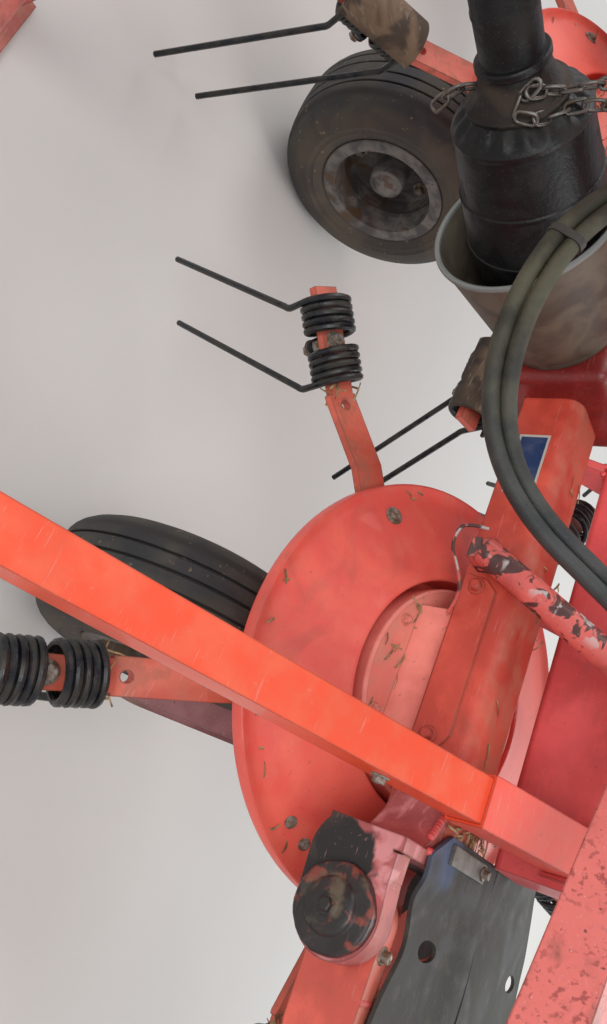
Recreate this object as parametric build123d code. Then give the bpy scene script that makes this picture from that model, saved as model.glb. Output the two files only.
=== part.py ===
"""Hay tedder with four tilted rotors, mounted on a tractor's three-point linkage.

Frame: +X to the right seen from the tractor, +Y to the rear, +Z up, millimetres.
The origin lies on the ground under the middle of the machine.
"""

import math
import os

from build123d import *

os.makedirs("parts", exist_ok=True)

# Overall layout. Distances along Y are counted from the wheels' axle line.
AXLE_Y = 103.0  # the axle line lies this far behind the origin
ROTOR_PITCH = 954.0  # between neighbouring rotor axes
ROTOR_TILT = 19.0  # degrees that every rotor leans forward
ROTOR_Y = 80.0  # centre of a dish's rim plane
ROTOR_Z = 563.0
WHEEL_Z = 202.5
FOLD_X = 740.0  # fold pins of the wings
FOLD_Z = 655.0

# Clearances between pieces that move on each other or seat in each other.
RUNNING = 0.05
SEAT = 0.3

# Rotor dish, heights counted along the rotor axis from the rim plane.
DISH_R = 271.0
DISH_SHEET = 4.0
RIM_LIP = 16.0
RIM_WIDTH = 19.0
RIM_RISE = 4.0
POT_R = 146.0  # inner radius of the pot that the gear drum stands in
POT_WALL = 5.0
POT_TOP = 41.0
POT_FLOOR = -16.0
POT_FLOOR_T = 6.0
HUB_R = 48.0
HUB_BOTTOM = -60.0
POST_R = 25.0

# Tine arms, five to a rotor.
ARM_COUNT = 5
ARM_WIDTH = 42.0
ARM_T = 12.0
ARM_ROOT_R = 58.0
ARM_CRANK_R = 298.0
ARM_CRANK_RUN = 95.0
ARM_DROP = 29.0
ARM_TIP_R = 540.0
ARM_HOLE_R = 395.0
ARM_HOLE_D = 13.0
PHASE_A = -68.5  # degrees from +X to the first arm
PHASE_B = -75.5  # the mirror image, half a pitch on, so that neighbours mesh

# Double coil tines.
WIRE_D = 9.5
COIL_TURNS = 5
COIL_D = 70.0
COIL_MID_R = ARM_TIP_R - 72.0
COIL_GAP = 17.0
LEG_DROP = 38.0  # from the coil's axis down to the kink
LEG_SLOPE = 30.0  # degrees outward from the rotor axis
LEG_OUTER = 292.0
LEG_INNER = 322.0
CLAMP_LENGTH = 13.0

# Saddles over the coils.
SADDLE_T = 5.0
SADDLE_LENGTH = 134.0
SADDLE_SLOT = (34.0, 13.0)

# Gear drums that hang from the beams, heights along the rotor axis.
DRUM_R = 135.0
DRUM_BOTTOM = -8.0
DRUM_TOP = 48.0
DRUM_CHAMFER = 4.0
NECK_HALF_WIDTH = 85.0
NECK_SETBACK = 10.0

# Wheel legs and axles.
POST_BOTTOM = -112.0
BOSS_R = 38.0
BOSS_TOP = -66.0
LEG_PLATE_T = 12.0
LEG_GAP = 14.0  # between the tyre and the leg plate
LEG_TOP_WIDTH = 74.0
LEG_FLANGE = 22.0
AXLE_R = 12.5
AXLE_BOSS_R = 30.0

# Wheels.
TYRE_R = 202.5
TYRE_HALF = 82.5
BEAD_R = 101.5
SHOULDER = 30.0
RIM_HALF = 76.0
RIM_FLANGE_R = 115.0
RIM_FLANGE_T = 5.0
RIM_BARREL_T = 9.0
RIM_WEB = (8.0, 15.0)
RIM_HUB_R = 32.0
RIM_HUB_HALF = 52.0

# Beams of the centre frame.
DRIVE_Y = (-30.0, 70.0)
DRIVE_Z = (625.0, 700.0)
DRIVE_END_X = 660.0
DRIVE_ROUND = 22.0
ACCESS_PLATE_T = 3.0  # bolted over the opening for the inner rotor's gears
ACCESS_PLATE_X = (347.0, 560.0)
ACCESS_PLATE_TOP = 670.0
MAIN_Y = (90.0, 190.0)
MAIN_Z = (710.0, 850.0)
MAIN_END_X = 640.0
MAIN_WALL = 8.0
MAIN_ROUND = 10.0
STAY_PLATE_T = 12.0
STAY_PLATE_X = (110.0, 330.0)

# Gearbox in the middle and the drive shaft that goes forward from it.
GEARBOX_X = 170.0
GEARBOX_Y = (-70.0, 85.0)
GEARBOX_HEIGHT = 150.0
GEARBOX_ROUND = 14.0
STUB_R = 17.4
JOINT_BALL_R = 32.0
GUARD_BEARING_T = 14.0
BOWL_BACK_R = 72.0
BOWL_R = 106.0
BOWL_WALL = 4.0
BOWL_LENGTH = 180.0
BOWL_FLANGE_T = 10.0
SHAFT_RISE = 8.0  # degrees that the parked drive shaft points up
JOINT_Y = -150.0  # cross joint inside the bowl
SHAFT_R = 21.0  # distances along the shaft count from the cross joint
BELL_R = 78.0
BELL_BACK = 55.0
BELL_FRONT = 172.0
FLARE_R = 52.0
FLARE_FRONT = 212.0
GUARD_R = 36.0
GUARD_WALL = 4.0
GUARD_NECK = 245.0
COLLAR = (272.0, 300.0)
COLLAR_R = 44.0
SLIDE_GUARD_R = 41.0
SLIDE_GUARD_END = 690.0
FRONT_BELL_R = 62.0
FRONT_BELL_END = 765.0
YOKE_R = 36.0
YOKE_BACK = 780.0
YOKE_FRONT = 872.0
YOKE_BORE_R = 17.45
YOKE_BORE_LENGTH = 62.0

# Tongue, swivel headstock and parking stand.
TONGUE_HALF = 50.0
TONGUE_Z = (850.0, 950.0)
TONGUE_FRONT_Y = -720.0
TONGUE_WALL = 8.0
SWIVEL_Y = -760.0
SWIVEL_R = 20.0
SWIVEL_BOSS_R = 42.0
SWIVEL_GAP = 1.0
HITCH_Y = -900.0
HITCH_Z = 520.0
HITCH_HALF = 412.5
HITCH_PIN_R = 14.0
HITCH_PIN_LENGTH = 90.0
TOP_LINK_Z = 1130.0
TOP_LINK_R = 12.7
TOP_LINK_GAP = 54.0
CHEEK_T = 14.0
MAST_TOP_R = 30.0
MAST_FOOT_R = 48.0
HEAD_TUBE_R = 30.0
HEAD_TOP_HALF = 150.0
HEAD_TOP_Z = 900.0
HEAD_FOOT_HALF = 330.0
STAND_Y = -640.0
STAND_TUBE = 49.0
STAND_SLEEVE_WALL = 5.0
STAND_SLEEVE_Z = (800.0, 1000.0)
STAND_TOP_Z = 1040.0
STAND_FOOT = (150.0, 130.0, 10.0)

# Guard bars, guard arms, rail and braces.
BAR_X = 600.0
BAR_TUBE = 45.0
BAR_WALL = 3.0
SOCKET_TUBE = 52.0  # outer size of the socket that the bar is pushed into
BAR_SLOPE = 23.3
BAR_Z_AT_AXLE = 755.0
SOCKET_Y = (-68.0, 130.0)
BAR_REAR_Y = 92.0
BAR_FRONT_Y = -730.0
LIP_Y = (78.0, 96.0)  # lips of the main beam's window round the socket
LIP_T = 5.0
RAIL_R = 21.0
GUARD_TUBE = 52.0
GUARD_TURN = 29.0
GUARD_ARM_LENGTH = 780.0
GUARD_ARM_START = (199.0, 140.0)
GUARD_ARM_WALL = 4.0
BRACE_R = 17.0
BRACE_FOOT = (330.0, -66.0, 655.0)
BRACE_HEAD = (434.0, 15.0)

# Fold hinges and wings.
EAR_T = 30.0
EAR_FRONT_Y = -120.0
EAR_REAR_Y = 130.0
EAR_BOSS_R = 44.0
HINGE_PLATE_T = 14.0
SHOULDER_X = (604.0, 700.0)  # cast shoulder between the drive beam and the front ear
SHOULDER_Z = (630.0, 696.0)
PIN_R = 17.0
PIN_WASHER_R = 40.0
PIN_WASHER_T = 5.0
PIN_HEAD_R = 23.0
PIN_HEAD_T = 10.0
KNUCKLE_T = 28.0
KNUCKLE_GAP = 5.0
KNUCKLE_BOSS_R = 36.0
WING_BEAM_X = (800.0, 1545.0)
WING_Y = (-30.0, 70.0)
WING_Z = (620.0, 692.0)
COVER_T = 5.0
COVER_X = (709.0, 868.0)
COVER_GAP = 6.0  # from the wing's rubber cover to the rear ear
FLAP_X = (636.0, 679.0)
FLAP_Y = (-66.0, 300.0)
FLAP_TAIL_X = 860.0  # the flap's rear part lies over the rear ear
CLAMP_X = (642.0, 662.0)
CLAMP_Y = (-20.0, 82.0)
CLAMP_T = 4.0
BOW_R = 17.0
BOW_REACH = 2130.0  # outermost face of the guard bows
BOW_Y = (-210.0, 250.0)
BOW_BEND = 90.0
BOW_PLATE_T = 12.0

# Fold cylinders behind the main beam.
CYLINDER_Y = 240.0
CYLINDER_BASE = (120.0, 800.0)
CYLINDER_LUG = (840.0, 855.0)
BARREL_R = 30.0
BARREL_LENGTH = 340.0
BARREL_FLOOR = 8.0  # closed end beyond the eye
PISTON_LENGTH = 24.0  # of the rod inside the barrel when it is drawn out
ROD_R = 15.0
EYE_R = 26.0
EYE_T = 26.0
LINK_PIN_R = 12.0
LUG_PLATE_T = 14.0
FORK_T = 8.0
FORK_GAP = 3.0
ANCHOR_HALF = 38.0
ANCHOR_T = 10.0
PIN_STANDOUT = 8.0

# Hoses from the tongue over the guard arm to a block on the main beam.
HOSE_R = 7.5
GLAND_R = 10.5
GLAND_LENGTH = 26.0
HOSE_BLOCK_X = (438.0, 488.0)
HOSE_BLOCK_Y = (118.0, 150.0)
HOSE_BLOCK_HEIGHT = 48.0
HOSE_ROUTES = {
    "upper": (
        (62.0, -332.0, 897.0),
        (120.0, -364.0, 863.0),
        (205.0, -398.0, 803.0),
        (290.0, -392.0, 768.0),
        (365.0, -352.0, 757.0),
        (412.0, -290.0, 778.0),
        (448.0, -216.0, 850.0),
        (452.0, -60.0, 930.0),
        (452.0, 45.0, 930.0),
        (452.0, 105.0, 890.0),
    ),
    "lower": (
        (60.0, -344.0, 874.0),
        (109.0, -370.0, 849.0),
        (197.0, -406.0, 789.0),
        (288.0, -401.0, 752.0),
        (373.0, -360.0, 743.0),
        (428.0, -298.0, 774.0),
        (466.0, -220.0, 850.0),
        (470.0, -62.0, 930.0),
        (472.0, 45.0, 930.0),
        (474.0, 105.0, 890.0),
    ),
}

# Chain that keeps the drive shaft's guard from turning.
CHAIN_WIRE = 4.0
LINK_SIZE = (25.4, 15.0)
LINK_COUNT = 6
CHAIN_TOP = (0.0, -383.0)
CHAIN_LEAN = 22.9  # degrees that the chain leans forward

SIDES = {"left": -1, "right": 1}


def save(name, *pieces):
    """Write the pieces of one node, moved from the axle line's frame to the origin."""
    solids = []
    for piece in pieces:
        solids.extend(piece.solids())
    placed = [Pos(0, AXLE_Y, 0) * solid for solid in solids]
    export_step(placed[0] if len(placed) == 1 else Compound(placed), f"parts/{name}.step")


def block(x, y, z):
    """A box from its limits along X, Y and Z."""
    size = (x[1] - x[0], y[1] - y[0], z[1] - z[0])
    return Pos((x[0] + x[1]) / 2, (y[0] + y[1]) / 2, (z[0] + z[1]) / 2) * Box(*size)


def rod(start, end, radius, bore=0.0):
    """A round bar or, with a bore, a tube between two points."""
    start, end = Vector(*start), Vector(*end)
    profile = Circle(radius)
    if bore:
        profile -= Circle(bore)
    return extrude(Plane(origin=start, z_dir=end - start) * profile, (end - start).length)


def across(profile, x, thickness):
    """Extrude a profile drawn in (Y, Z) along +X from the plane at x."""
    return extrude(Plane(origin=(x, 0, 0), x_dir=(0, 1, 0), z_dir=(1, 0, 0)) * profile, thickness)


def along(profile, y, thickness):
    """Extrude a profile drawn in (X, Z) along +Y from the plane at y."""
    plane = Plane(origin=(0, y, 0), x_dir=(1, 0, 0), z_dir=(0, -1, 0))
    return extrude(plane * profile, -thickness)


def outline(*points):
    """A flat face from the corners of its outline."""
    return make_face(Polyline(*points, close=True))


def hull(*discs):
    """The flat outline round several discs, each given as (centre, radius)."""
    circles = [Pos(*centre) * Circle(radius) for centre, radius in discs]
    edges = [circle.edges()[0] for circle in circles]
    return make_hull(edges)


def on_side(side, shape):
    """The shape as drawn on the right, or mirrored to the left."""
    return shape if side > 0 else mirror(shape, Plane.YZ)


def at_rotor(x, shape):
    """Move a shape from a rotor's own frame to that rotor."""
    return Pos(x, ROTOR_Y, ROTOR_Z) * Rot(ROTOR_TILT, 0, 0) * shape


def drum_top_z(y):
    """Height of the drums' tilted top face at a distance y behind the axle line."""
    tilt = math.radians(ROTOR_TILT)
    return ROTOR_Z + (DRUM_TOP + math.sin(tilt) * (y - ROTOR_Y)) / math.cos(tilt)


def gland(mouth, toward):
    """The screwed end that a hose's mouth sits on, along the hose's own direction."""
    mouth, toward = Vector(*mouth), Vector(*toward)
    inward = (mouth - toward).normalized()
    end = mouth + inward * GLAND_LENGTH
    return rod((mouth.X, mouth.Y, mouth.Z), (end.X, end.Y, end.Z), GLAND_R)


# Rotor: dish with its pot and hub, five cranked arms, double tines and saddles.
def rotor_dish():
    hub_bore = POST_R + RUNNING
    rim_in = DISH_R - RIM_WIDTH
    pot_out = POT_R + POT_WALL
    section = outline(
        (hub_bore, HUB_BOTTOM),
        (HUB_R, HUB_BOTTOM),
        (HUB_R, POT_FLOOR - POT_FLOOR_T),
        (pot_out, POT_FLOOR - POT_FLOOR_T),
        (pot_out, POT_TOP - 2 * DISH_SHEET),
        (rim_in, -DISH_SHEET),
        (DISH_R - DISH_SHEET, RIM_RISE - DISH_SHEET),
        (DISH_R - DISH_SHEET, -RIM_LIP),
        (DISH_R, -RIM_LIP),
        (DISH_R, RIM_RISE),
        (DISH_R - DISH_SHEET, RIM_RISE),
        (rim_in, 0),
        (pot_out, POT_TOP),
        (POT_R, POT_TOP),
        (POT_R, POT_FLOOR),
        (hub_bore, POT_FLOOR),
    )
    return revolve(Plane.XZ * section, Axis.Z)


def tine_arm():
    top = POT_FLOOR - POT_FLOOR_T
    crank = ARM_CRANK_R + ARM_CRANK_RUN
    side = outline(
        (ARM_ROOT_R, top),
        (ARM_CRANK_R, top),
        (crank, top - ARM_DROP),
        (ARM_TIP_R, top - ARM_DROP),
        (ARM_TIP_R, top - ARM_DROP - ARM_T),
        (crank, top - ARM_DROP - ARM_T),
        (ARM_CRANK_R, top - ARM_T),
        (ARM_ROOT_R, top - ARM_T),
    )
    return extrude(Plane.XZ * side, ARM_WIDTH / 2, both=True)


def coil_axis_z():
    return POT_FLOOR - POT_FLOOR_T - ARM_DROP - ARM_T / 2


def double_tine():
    """Two coils round the arm, their legs, and the loop that the clamp holds between them."""
    z = coil_axis_z()
    length = COIL_TURNS * WIRE_D
    ring_r = (COIL_D - WIRE_D) / 2
    tilt = math.radians(LEG_SLOPE)
    inner_start = COIL_MID_R - COIL_GAP / 2 - length
    outer_end = COIL_MID_R + COIL_GAP / 2 + length
    parts = []
    for start, leg_x, leg_length in (
        (inner_start, inner_start + WIRE_D / 2, LEG_INNER),
        (outer_end - length, outer_end - WIRE_D / 2, LEG_OUTER),
    ):
        coil = rod((start, 0, z), (start + length, 0, z), COIL_D / 2, COIL_D / 2 - WIRE_D)
        kink = (leg_x, ring_r, z - LEG_DROP)
        tip = (
            leg_x + math.sin(tilt) * leg_length,
            ring_r,
            z - LEG_DROP - math.cos(tilt) * leg_length,
        )
        path = Polyline((leg_x, ring_r, z), kink, tip)
        wire = Plane(origin=(leg_x, ring_r, z), z_dir=(0, 0, -1)) * Circle(WIRE_D / 2 - RUNNING)
        leg = sweep(wire, path, transition=Transition.RIGHT)
        parts.append(coil + leg)
    loop = rod(
        (COIL_MID_R - COIL_GAP / 2 - WIRE_D, 0, z - ring_r),
        (COIL_MID_R + COIL_GAP / 2 + WIRE_D, 0, z - ring_r),
        WIRE_D / 2 - RUNNING,
    )
    clamp = block(
        (COIL_MID_R - CLAMP_LENGTH / 2, COIL_MID_R + CLAMP_LENGTH / 2),
        (-ARM_WIDTH / 4, ARM_WIDTH / 4),
        (z - ring_r - WIRE_D, z - ARM_T / 2),
    )
    return parts[0] + parts[1] + loop + clamp


def saddle():
    z = coil_axis_z()
    inner_r = COIL_D / 2 + SEAT
    start = COIL_MID_R - SADDLE_LENGTH / 2
    shell = rod((start, 0, z), (start + SADDLE_LENGTH, 0, z), inner_r + SADDLE_T, inner_r)
    upper = block((start, start + SADDLE_LENGTH), (-2 * inner_r, 2 * inner_r), (z, z + 2 * inner_r))
    slot_face = Pos(start + SADDLE_LENGTH * 0.75, 0) * SlotOverall(*SADDLE_SLOT)
    slot = Pos(0, 0, z + SADDLE_T) * extrude(slot_face, 2 * inner_r)
    return shell & upper - slot


def narrow_arm_end(arm):
    """Trim the arm's end so that it passes through its coils."""
    z = coil_axis_z()
    keep = ARM_WIDTH / 2 - 3
    trim_x = (COIL_MID_R - COIL_D, ARM_TIP_R + 1)
    trim_z = (z - 2 * ARM_T, z + 2 * ARM_T)
    trims = [block(trim_x, sorted((side * keep, side * ARM_WIDTH)), trim_z) for side in (-1, 1)]
    hole = Pos(ARM_HOLE_R - 12, 0, z) * Cylinder(ARM_HOLE_D / 2, 4 * ARM_T)
    return arm - trims[0] - trims[1] - hole


def rotor(name, x, phase, saddles):
    arm = narrow_arm_end(tine_arm())
    tine = double_tine()
    turns = [Rot(0, 0, phase + 360 / ARM_COUNT * index) for index in range(ARM_COUNT)]
    save(f"rotor_dish_{name}", at_rotor(x, rotor_dish()))
    save(f"tine_arms_{name}", *[at_rotor(x, turn * arm) for turn in turns])
    save(f"tines_{name}", *[at_rotor(x, turn * tine) for turn in turns])
    if saddles:
        cover = saddle()
        save(f"tine_saddles_{name}", *[at_rotor(x, turn * cover) for turn in turns])


ROTORS = {
    # name: (axis from the middle in pitches, phase, saddles fitted)
    "outer_left": (-1.5, PHASE_A, True),
    "inner_left": (-0.5, PHASE_B, True),
    "inner_right": (0.5, PHASE_A, False),
    "outer_right": (1.5, PHASE_B, True),
}
for name, (place, phase, saddles) in ROTORS.items():
    rotor(name, place * ROTOR_PITCH, phase, saddles)


# Gear drum with the neck that hangs it from its beam.
def gear_drum(x, beam_y, beam_z):
    drum = rod((0, 0, DRUM_BOTTOM), (0, 0, DRUM_TOP), DRUM_R)
    drum = chamfer(drum.faces().sort_by(Axis.Z)[-1].edges(), DRUM_CHAMFER)
    y = (beam_y[0] + NECK_SETBACK, beam_y[1] - NECK_SETBACK)
    neck_face = outline(
        (y[0], beam_z[0]),
        (y[1], beam_z[0]),
        (y[1], drum_top_z(y[1]) - 2),
        (y[0], drum_top_z(y[0]) - 2),
    )
    neck = across(neck_face, x - NECK_HALF_WIDTH, 2 * NECK_HALF_WIDTH)
    return at_rotor(x, drum) + neck


# Wheel leg: post through the hub, boss, side plate with a flange, and axle.
def wheel_leg(x, side):
    tilt = math.radians(ROTOR_TILT)
    post = at_rotor(x, rod((0, 0, DRUM_BOTTOM), (0, 0, POST_BOTTOM), POST_R))
    boss = at_rotor(x, rod((0, 0, BOSS_TOP), (0, 0, POST_BOTTOM), BOSS_R))
    boss_mid = (BOSS_TOP + POST_BOTTOM) / 2
    boss_y = ROTOR_Y - math.sin(tilt) * boss_mid
    boss_z = ROTOR_Z + math.cos(tilt) * boss_mid
    plate_x = TYRE_HALF + LEG_GAP
    half = LEG_TOP_WIDTH / 2
    arm_z = (boss_z - 18, boss_z + 18)
    arm = block((x, x + plate_x + LEG_PLATE_T), (boss_y - 20, boss_y + 20), arm_z)
    top = (boss_y, boss_z - half + 18)
    plate = across(hull((top, half), ((0, WHEEL_Z), AXLE_BOSS_R)), x + plate_x, LEG_PLATE_T)
    rim = hull((top, half), ((0, WHEEL_Z), AXLE_BOSS_R))
    flange_face = rim - hull((top, half - 6), ((0, WHEEL_Z), AXLE_BOSS_R - 6))
    flange = across(flange_face, x + plate_x + LEG_PLATE_T, LEG_FLANGE)
    axle = rod((x + plate_x, 0, WHEEL_Z), (x - RIM_HUB_HALF - 6, 0, WHEEL_Z), AXLE_R)
    leg = post + boss + arm + plate + flange + axle
    if side < 0:
        leg = Pos(2 * x, 0, 0) * mirror(leg, Plane.YZ)
    return leg


inner_x = ROTOR_PITCH / 2
outer_x = ROTOR_PITCH * 1.5
save("gear_drums_inner", *[gear_drum(side * inner_x, DRIVE_Y, DRIVE_Z) for side in SIDES.values()])
save("wheel_legs_inner", *[wheel_leg(side * inner_x, side) for side in SIDES.values()])
for name, side in SIDES.items():
    save(f"gear_drum_outer_{name}", gear_drum(side * outer_x, WING_Y, WING_Z))
    save(f"wheel_leg_outer_{name}", wheel_leg(side * outer_x, side))


# Wheels: a ribbed tyre on a dished rim.
def tyre():
    bead_half = RIM_HALF - RIM_FLANGE_T - SEAT
    wall_foot = RIM_FLANGE_R + SEAT
    section = outline(
        (-bead_half, BEAD_R),
        (bead_half, BEAD_R),
        (bead_half, wall_foot),
        (TYRE_HALF, wall_foot + SHOULDER),
        (TYRE_HALF - SHOULDER, TYRE_R),
        (-TYRE_HALF + SHOULDER, TYRE_R),
        (-TYRE_HALF, wall_foot + SHOULDER),
        (-bead_half, wall_foot),
    )
    return revolve(Plane.XY * section, Axis.X)


def rim():
    barrel_out = BEAD_R - SEAT
    barrel_in = barrel_out - RIM_BARREL_T
    bore = AXLE_R + RUNNING
    section = outline(
        (-RIM_HUB_HALF, bore),
        (RIM_HUB_HALF, bore),
        (RIM_HUB_HALF, RIM_HUB_R),
        (RIM_WEB[1], RIM_HUB_R),
        (RIM_WEB[1], barrel_in),
        (RIM_HALF, barrel_in),
        (RIM_HALF, RIM_FLANGE_R),
        (RIM_HALF - RIM_FLANGE_T, RIM_FLANGE_R),
        (RIM_HALF - RIM_FLANGE_T, barrel_out),
        (-RIM_HALF + RIM_FLANGE_T, barrel_out),
        (-RIM_HALF + RIM_FLANGE_T, RIM_FLANGE_R),
        (-RIM_HALF, RIM_FLANGE_R),
        (-RIM_HALF, barrel_in),
        (RIM_WEB[0], barrel_in),
        (RIM_WEB[0], RIM_HUB_R),
        (-RIM_HUB_HALF, RIM_HUB_R),
    )
    return revolve(Plane.XY * section, Axis.X)


for name, (place, phase, saddles) in ROTORS.items():
    x = place * ROTOR_PITCH
    facing = 1 if place > 0 else -1
    save(f"tyre_{name}", Pos(x, 0, WHEEL_Z) * tyre())
    save(f"rim_{name}", Pos(x, 0, WHEEL_Z) * on_side(facing, rim()))


# Guard bars: a bar pushed into a square socket that the main beam holds in a window.
bar_slope = math.radians(BAR_SLOPE)
socket_bore = BAR_TUBE + 2 * SEAT
window = SOCKET_TUBE + 2 * SEAT


def on_bar(y):
    """The bar's axis at a distance y behind the axle line."""
    return (BAR_X, y, BAR_Z_AT_AXLE + math.tan(bar_slope) * y)


def bar(start_y, end_y, size, bore=0.0):
    """A square tube, or a solid bar without a bore, along the guard bar's axis."""
    start, end = Vector(*on_bar(start_y)), Vector(*on_bar(end_y))
    plane = Plane(origin=start, x_dir=(1, 0, 0), z_dir=end - start)
    face = Rectangle(size, size)
    if bore:
        face -= Rectangle(bore, bore)
    return extrude(plane * face, (end - start).length)


socket = bar(SOCKET_Y[1], SOCKET_Y[0], SOCKET_TUBE, socket_bore)
long_bar = bar(BAR_REAR_Y, BAR_FRONT_Y + RAIL_R, BAR_TUBE, BAR_TUBE - 2 * BAR_WALL)
save("guard_bars", *[on_side(side, piece) for side in SIDES.values() for piece in (socket, long_bar)])


# Centre frame: drive beam with its access plates, and the main beam welded to it by stay plates.
drive_face = Rectangle(DRIVE_Y[1] - DRIVE_Y[0], DRIVE_Z[1] - DRIVE_Z[0])
drive_face = fillet(drive_face.vertices().group_by(Axis.Y)[-1], DRIVE_ROUND)
drive_face = Pos(sum(DRIVE_Y) / 2, sum(DRIVE_Z) / 2) * drive_face
drive_beam = across(drive_face, -DRIVE_END_X, 2 * DRIVE_END_X)
access_face = outline(
    (ACCESS_PLATE_X[0], DRIVE_Z[0] + 2),
    (ACCESS_PLATE_X[1], DRIVE_Z[0] + 2),
    (ACCESS_PLATE_X[1] - 4, ACCESS_PLATE_TOP - 10),
    (ACCESS_PLATE_X[1] - 20, ACCESS_PLATE_TOP),
    (ACCESS_PLATE_X[0] + 19, ACCESS_PLATE_TOP),
    (ACCESS_PLATE_X[0] + 5, ACCESS_PLATE_TOP - 14),
)
access_plate = along(access_face, DRIVE_Y[0] - ACCESS_PLATE_T, ACCESS_PLATE_T)
gearbox_z = (sum(DRIVE_Z) - GEARBOX_HEIGHT) / 2
gearbox = block((-GEARBOX_X / 2, GEARBOX_X / 2), GEARBOX_Y, (gearbox_z, gearbox_z + GEARBOX_HEIGHT))
drive_beam += access_plate + mirror(access_plate, Plane.YZ)
drive_beam -= gearbox
save("drive_beam", drive_beam)

main_face = Rectangle(MAIN_Y[1] - MAIN_Y[0], MAIN_Z[1] - MAIN_Z[0])
main_bore = Rectangle(MAIN_Y[1] - MAIN_Y[0] - 2 * MAIN_WALL, MAIN_Z[1] - MAIN_Z[0] - 2 * MAIN_WALL)
main_face = Pos(sum(MAIN_Y) / 2, sum(MAIN_Z) / 2) * fillet(main_face.vertices(), MAIN_ROUND)
main_bore = Pos(sum(MAIN_Y) / 2, sum(MAIN_Z) / 2) * main_bore
bore_end = MAIN_END_X - MAIN_WALL
main_beam = across(main_face, -MAIN_END_X, 2 * MAIN_END_X) - across(main_bore, -bore_end, 2 * bore_end)
anchor_x, anchor_z = CYLINDER_BASE
anchor = block(
    (anchor_x - ANCHOR_HALF, anchor_x + ANCHOR_HALF),
    (MAIN_Y[1], MAIN_Y[1] + ANCHOR_T),
    (anchor_z - ANCHOR_HALF, anchor_z + ANCHOR_HALF),
)
anchor_end = CYLINDER_Y + EYE_T / 2 + PIN_STANDOUT
anchor += rod((anchor_x, MAIN_Y[1], anchor_z), (anchor_x, anchor_end, anchor_z), LINK_PIN_R)
lip = bar(LIP_Y[1], LIP_Y[0], window + 2 * LIP_T, window)
opening = bar(SOCKET_Y[1], LIP_Y[0], window)
for side in SIDES.values():
    main_beam += on_side(side, anchor) + on_side(side, lip)
    main_beam -= on_side(side, opening)
stay_face = outline(
    (DRIVE_Y[1], DRIVE_Z[0]),
    (MAIN_Y[1] - 20, MAIN_Z[0]),
    (MAIN_Y[0], MAIN_Z[0]),
    (DRIVE_Y[1], DRIVE_Z[1] - DRIVE_ROUND),
)
for side in SIDES.values():
    for x in STAY_PLATE_X:
        main_beam += across(stay_face, side * x - STAY_PLATE_T / 2, STAY_PLATE_T)
hose_block = block(HOSE_BLOCK_X, HOSE_BLOCK_Y, (MAIN_Z[1], MAIN_Z[1] + HOSE_BLOCK_HEIGHT))
main_beam += hose_block
for route in HOSE_ROUTES.values():
    main_beam += gland(route[-1], route[-2])
save("main_beam", main_beam)

# Drive shaft in its guards, on a line that rises towards the tractor.
drive_mid_z = sum(DRIVE_Z) / 2
shaft_plane = Plane(
    origin=(0, JOINT_Y, drive_mid_z),
    x_dir=(1, 0, 0),
    z_dir=(0, -math.cos(math.radians(SHAFT_RISE)), math.sin(math.radians(SHAFT_RISE))),
)
level_plane = Plane(origin=(0, GEARBOX_Y[0], drive_mid_z), x_dir=(1, 0, 0), z_dir=(0, -1, 0))


def turned(plane, *points):
    """Revolve a section of (radius, distance) points round a plane's normal."""
    return plane.location * revolve(Plane.XZ * outline(*points), Axis.Z)


bowl = turned(
    level_plane,
    (SHAFT_R + GUARD_R, SEAT),
    (BOWL_BACK_R, SEAT),
    (BOWL_BACK_R, BOWL_FLANGE_T),
    (BOWL_R, BOWL_LENGTH),
    (BOWL_R - BOWL_WALL, BOWL_LENGTH),
    (BOWL_BACK_R - BOWL_WALL, BOWL_FLANGE_T),
    (SHAFT_R + GUARD_R, BOWL_FLANGE_T),
)
save("shaft_bowl", bowl)
stub_end = GEARBOX_Y[0] - JOINT_Y - JOINT_BALL_R - SEAT
stub = turned(level_plane, (0, -GEARBOX_ROUND), (STUB_R, -GEARBOX_ROUND), (STUB_R, stub_end), (0, stub_end))
save("gearbox", fillet(gearbox.edges(), GEARBOX_ROUND) + stub)

rear_guard = turned(
    shaft_plane,
    (BELL_R - GUARD_WALL, BELL_BACK),
    (BELL_R, BELL_BACK),
    (BELL_R, BELL_FRONT),
    (FLARE_R, FLARE_FRONT - 20),
    (FLARE_R, FLARE_FRONT),
    (GUARD_R, GUARD_NECK),
    (GUARD_R, SLIDE_GUARD_END - 200),
    (GUARD_R - GUARD_WALL, SLIDE_GUARD_END - 200),
    (GUARD_R - GUARD_WALL, GUARD_NECK),
    (FLARE_R - GUARD_WALL, FLARE_FRONT),
    (FLARE_R - GUARD_WALL, FLARE_FRONT - 20),
    (BELL_R - GUARD_WALL, BELL_FRONT),
)
bearing_face = FLARE_FRONT - GUARD_BEARING_T
rear_guard += turned(
    shaft_plane,
    (SHAFT_R + RUNNING, bearing_face),
    (FLARE_R - GUARD_WALL / 2, bearing_face),
    (FLARE_R - GUARD_WALL / 2, FLARE_FRONT),
    (SHAFT_R + RUNNING, FLARE_FRONT),
)
slide_bore = GUARD_R + SEAT
front_guard = turned(
    shaft_plane,
    (slide_bore, COLLAR[0]),
    (COLLAR_R, COLLAR[0]),
    (COLLAR_R, COLLAR[1]),
    (SLIDE_GUARD_R, COLLAR[1]),
    (SLIDE_GUARD_R, SLIDE_GUARD_END),
    (FRONT_BELL_R, SLIDE_GUARD_END + 30),
    (FRONT_BELL_R, FRONT_BELL_END),
    (FRONT_BELL_R - GUARD_WALL, FRONT_BELL_END),
    (FRONT_BELL_R - GUARD_WALL, SLIDE_GUARD_END + 30),
    (slide_bore, SLIDE_GUARD_END),
)
save("shaft_guards", rear_guard, front_guard)
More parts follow.
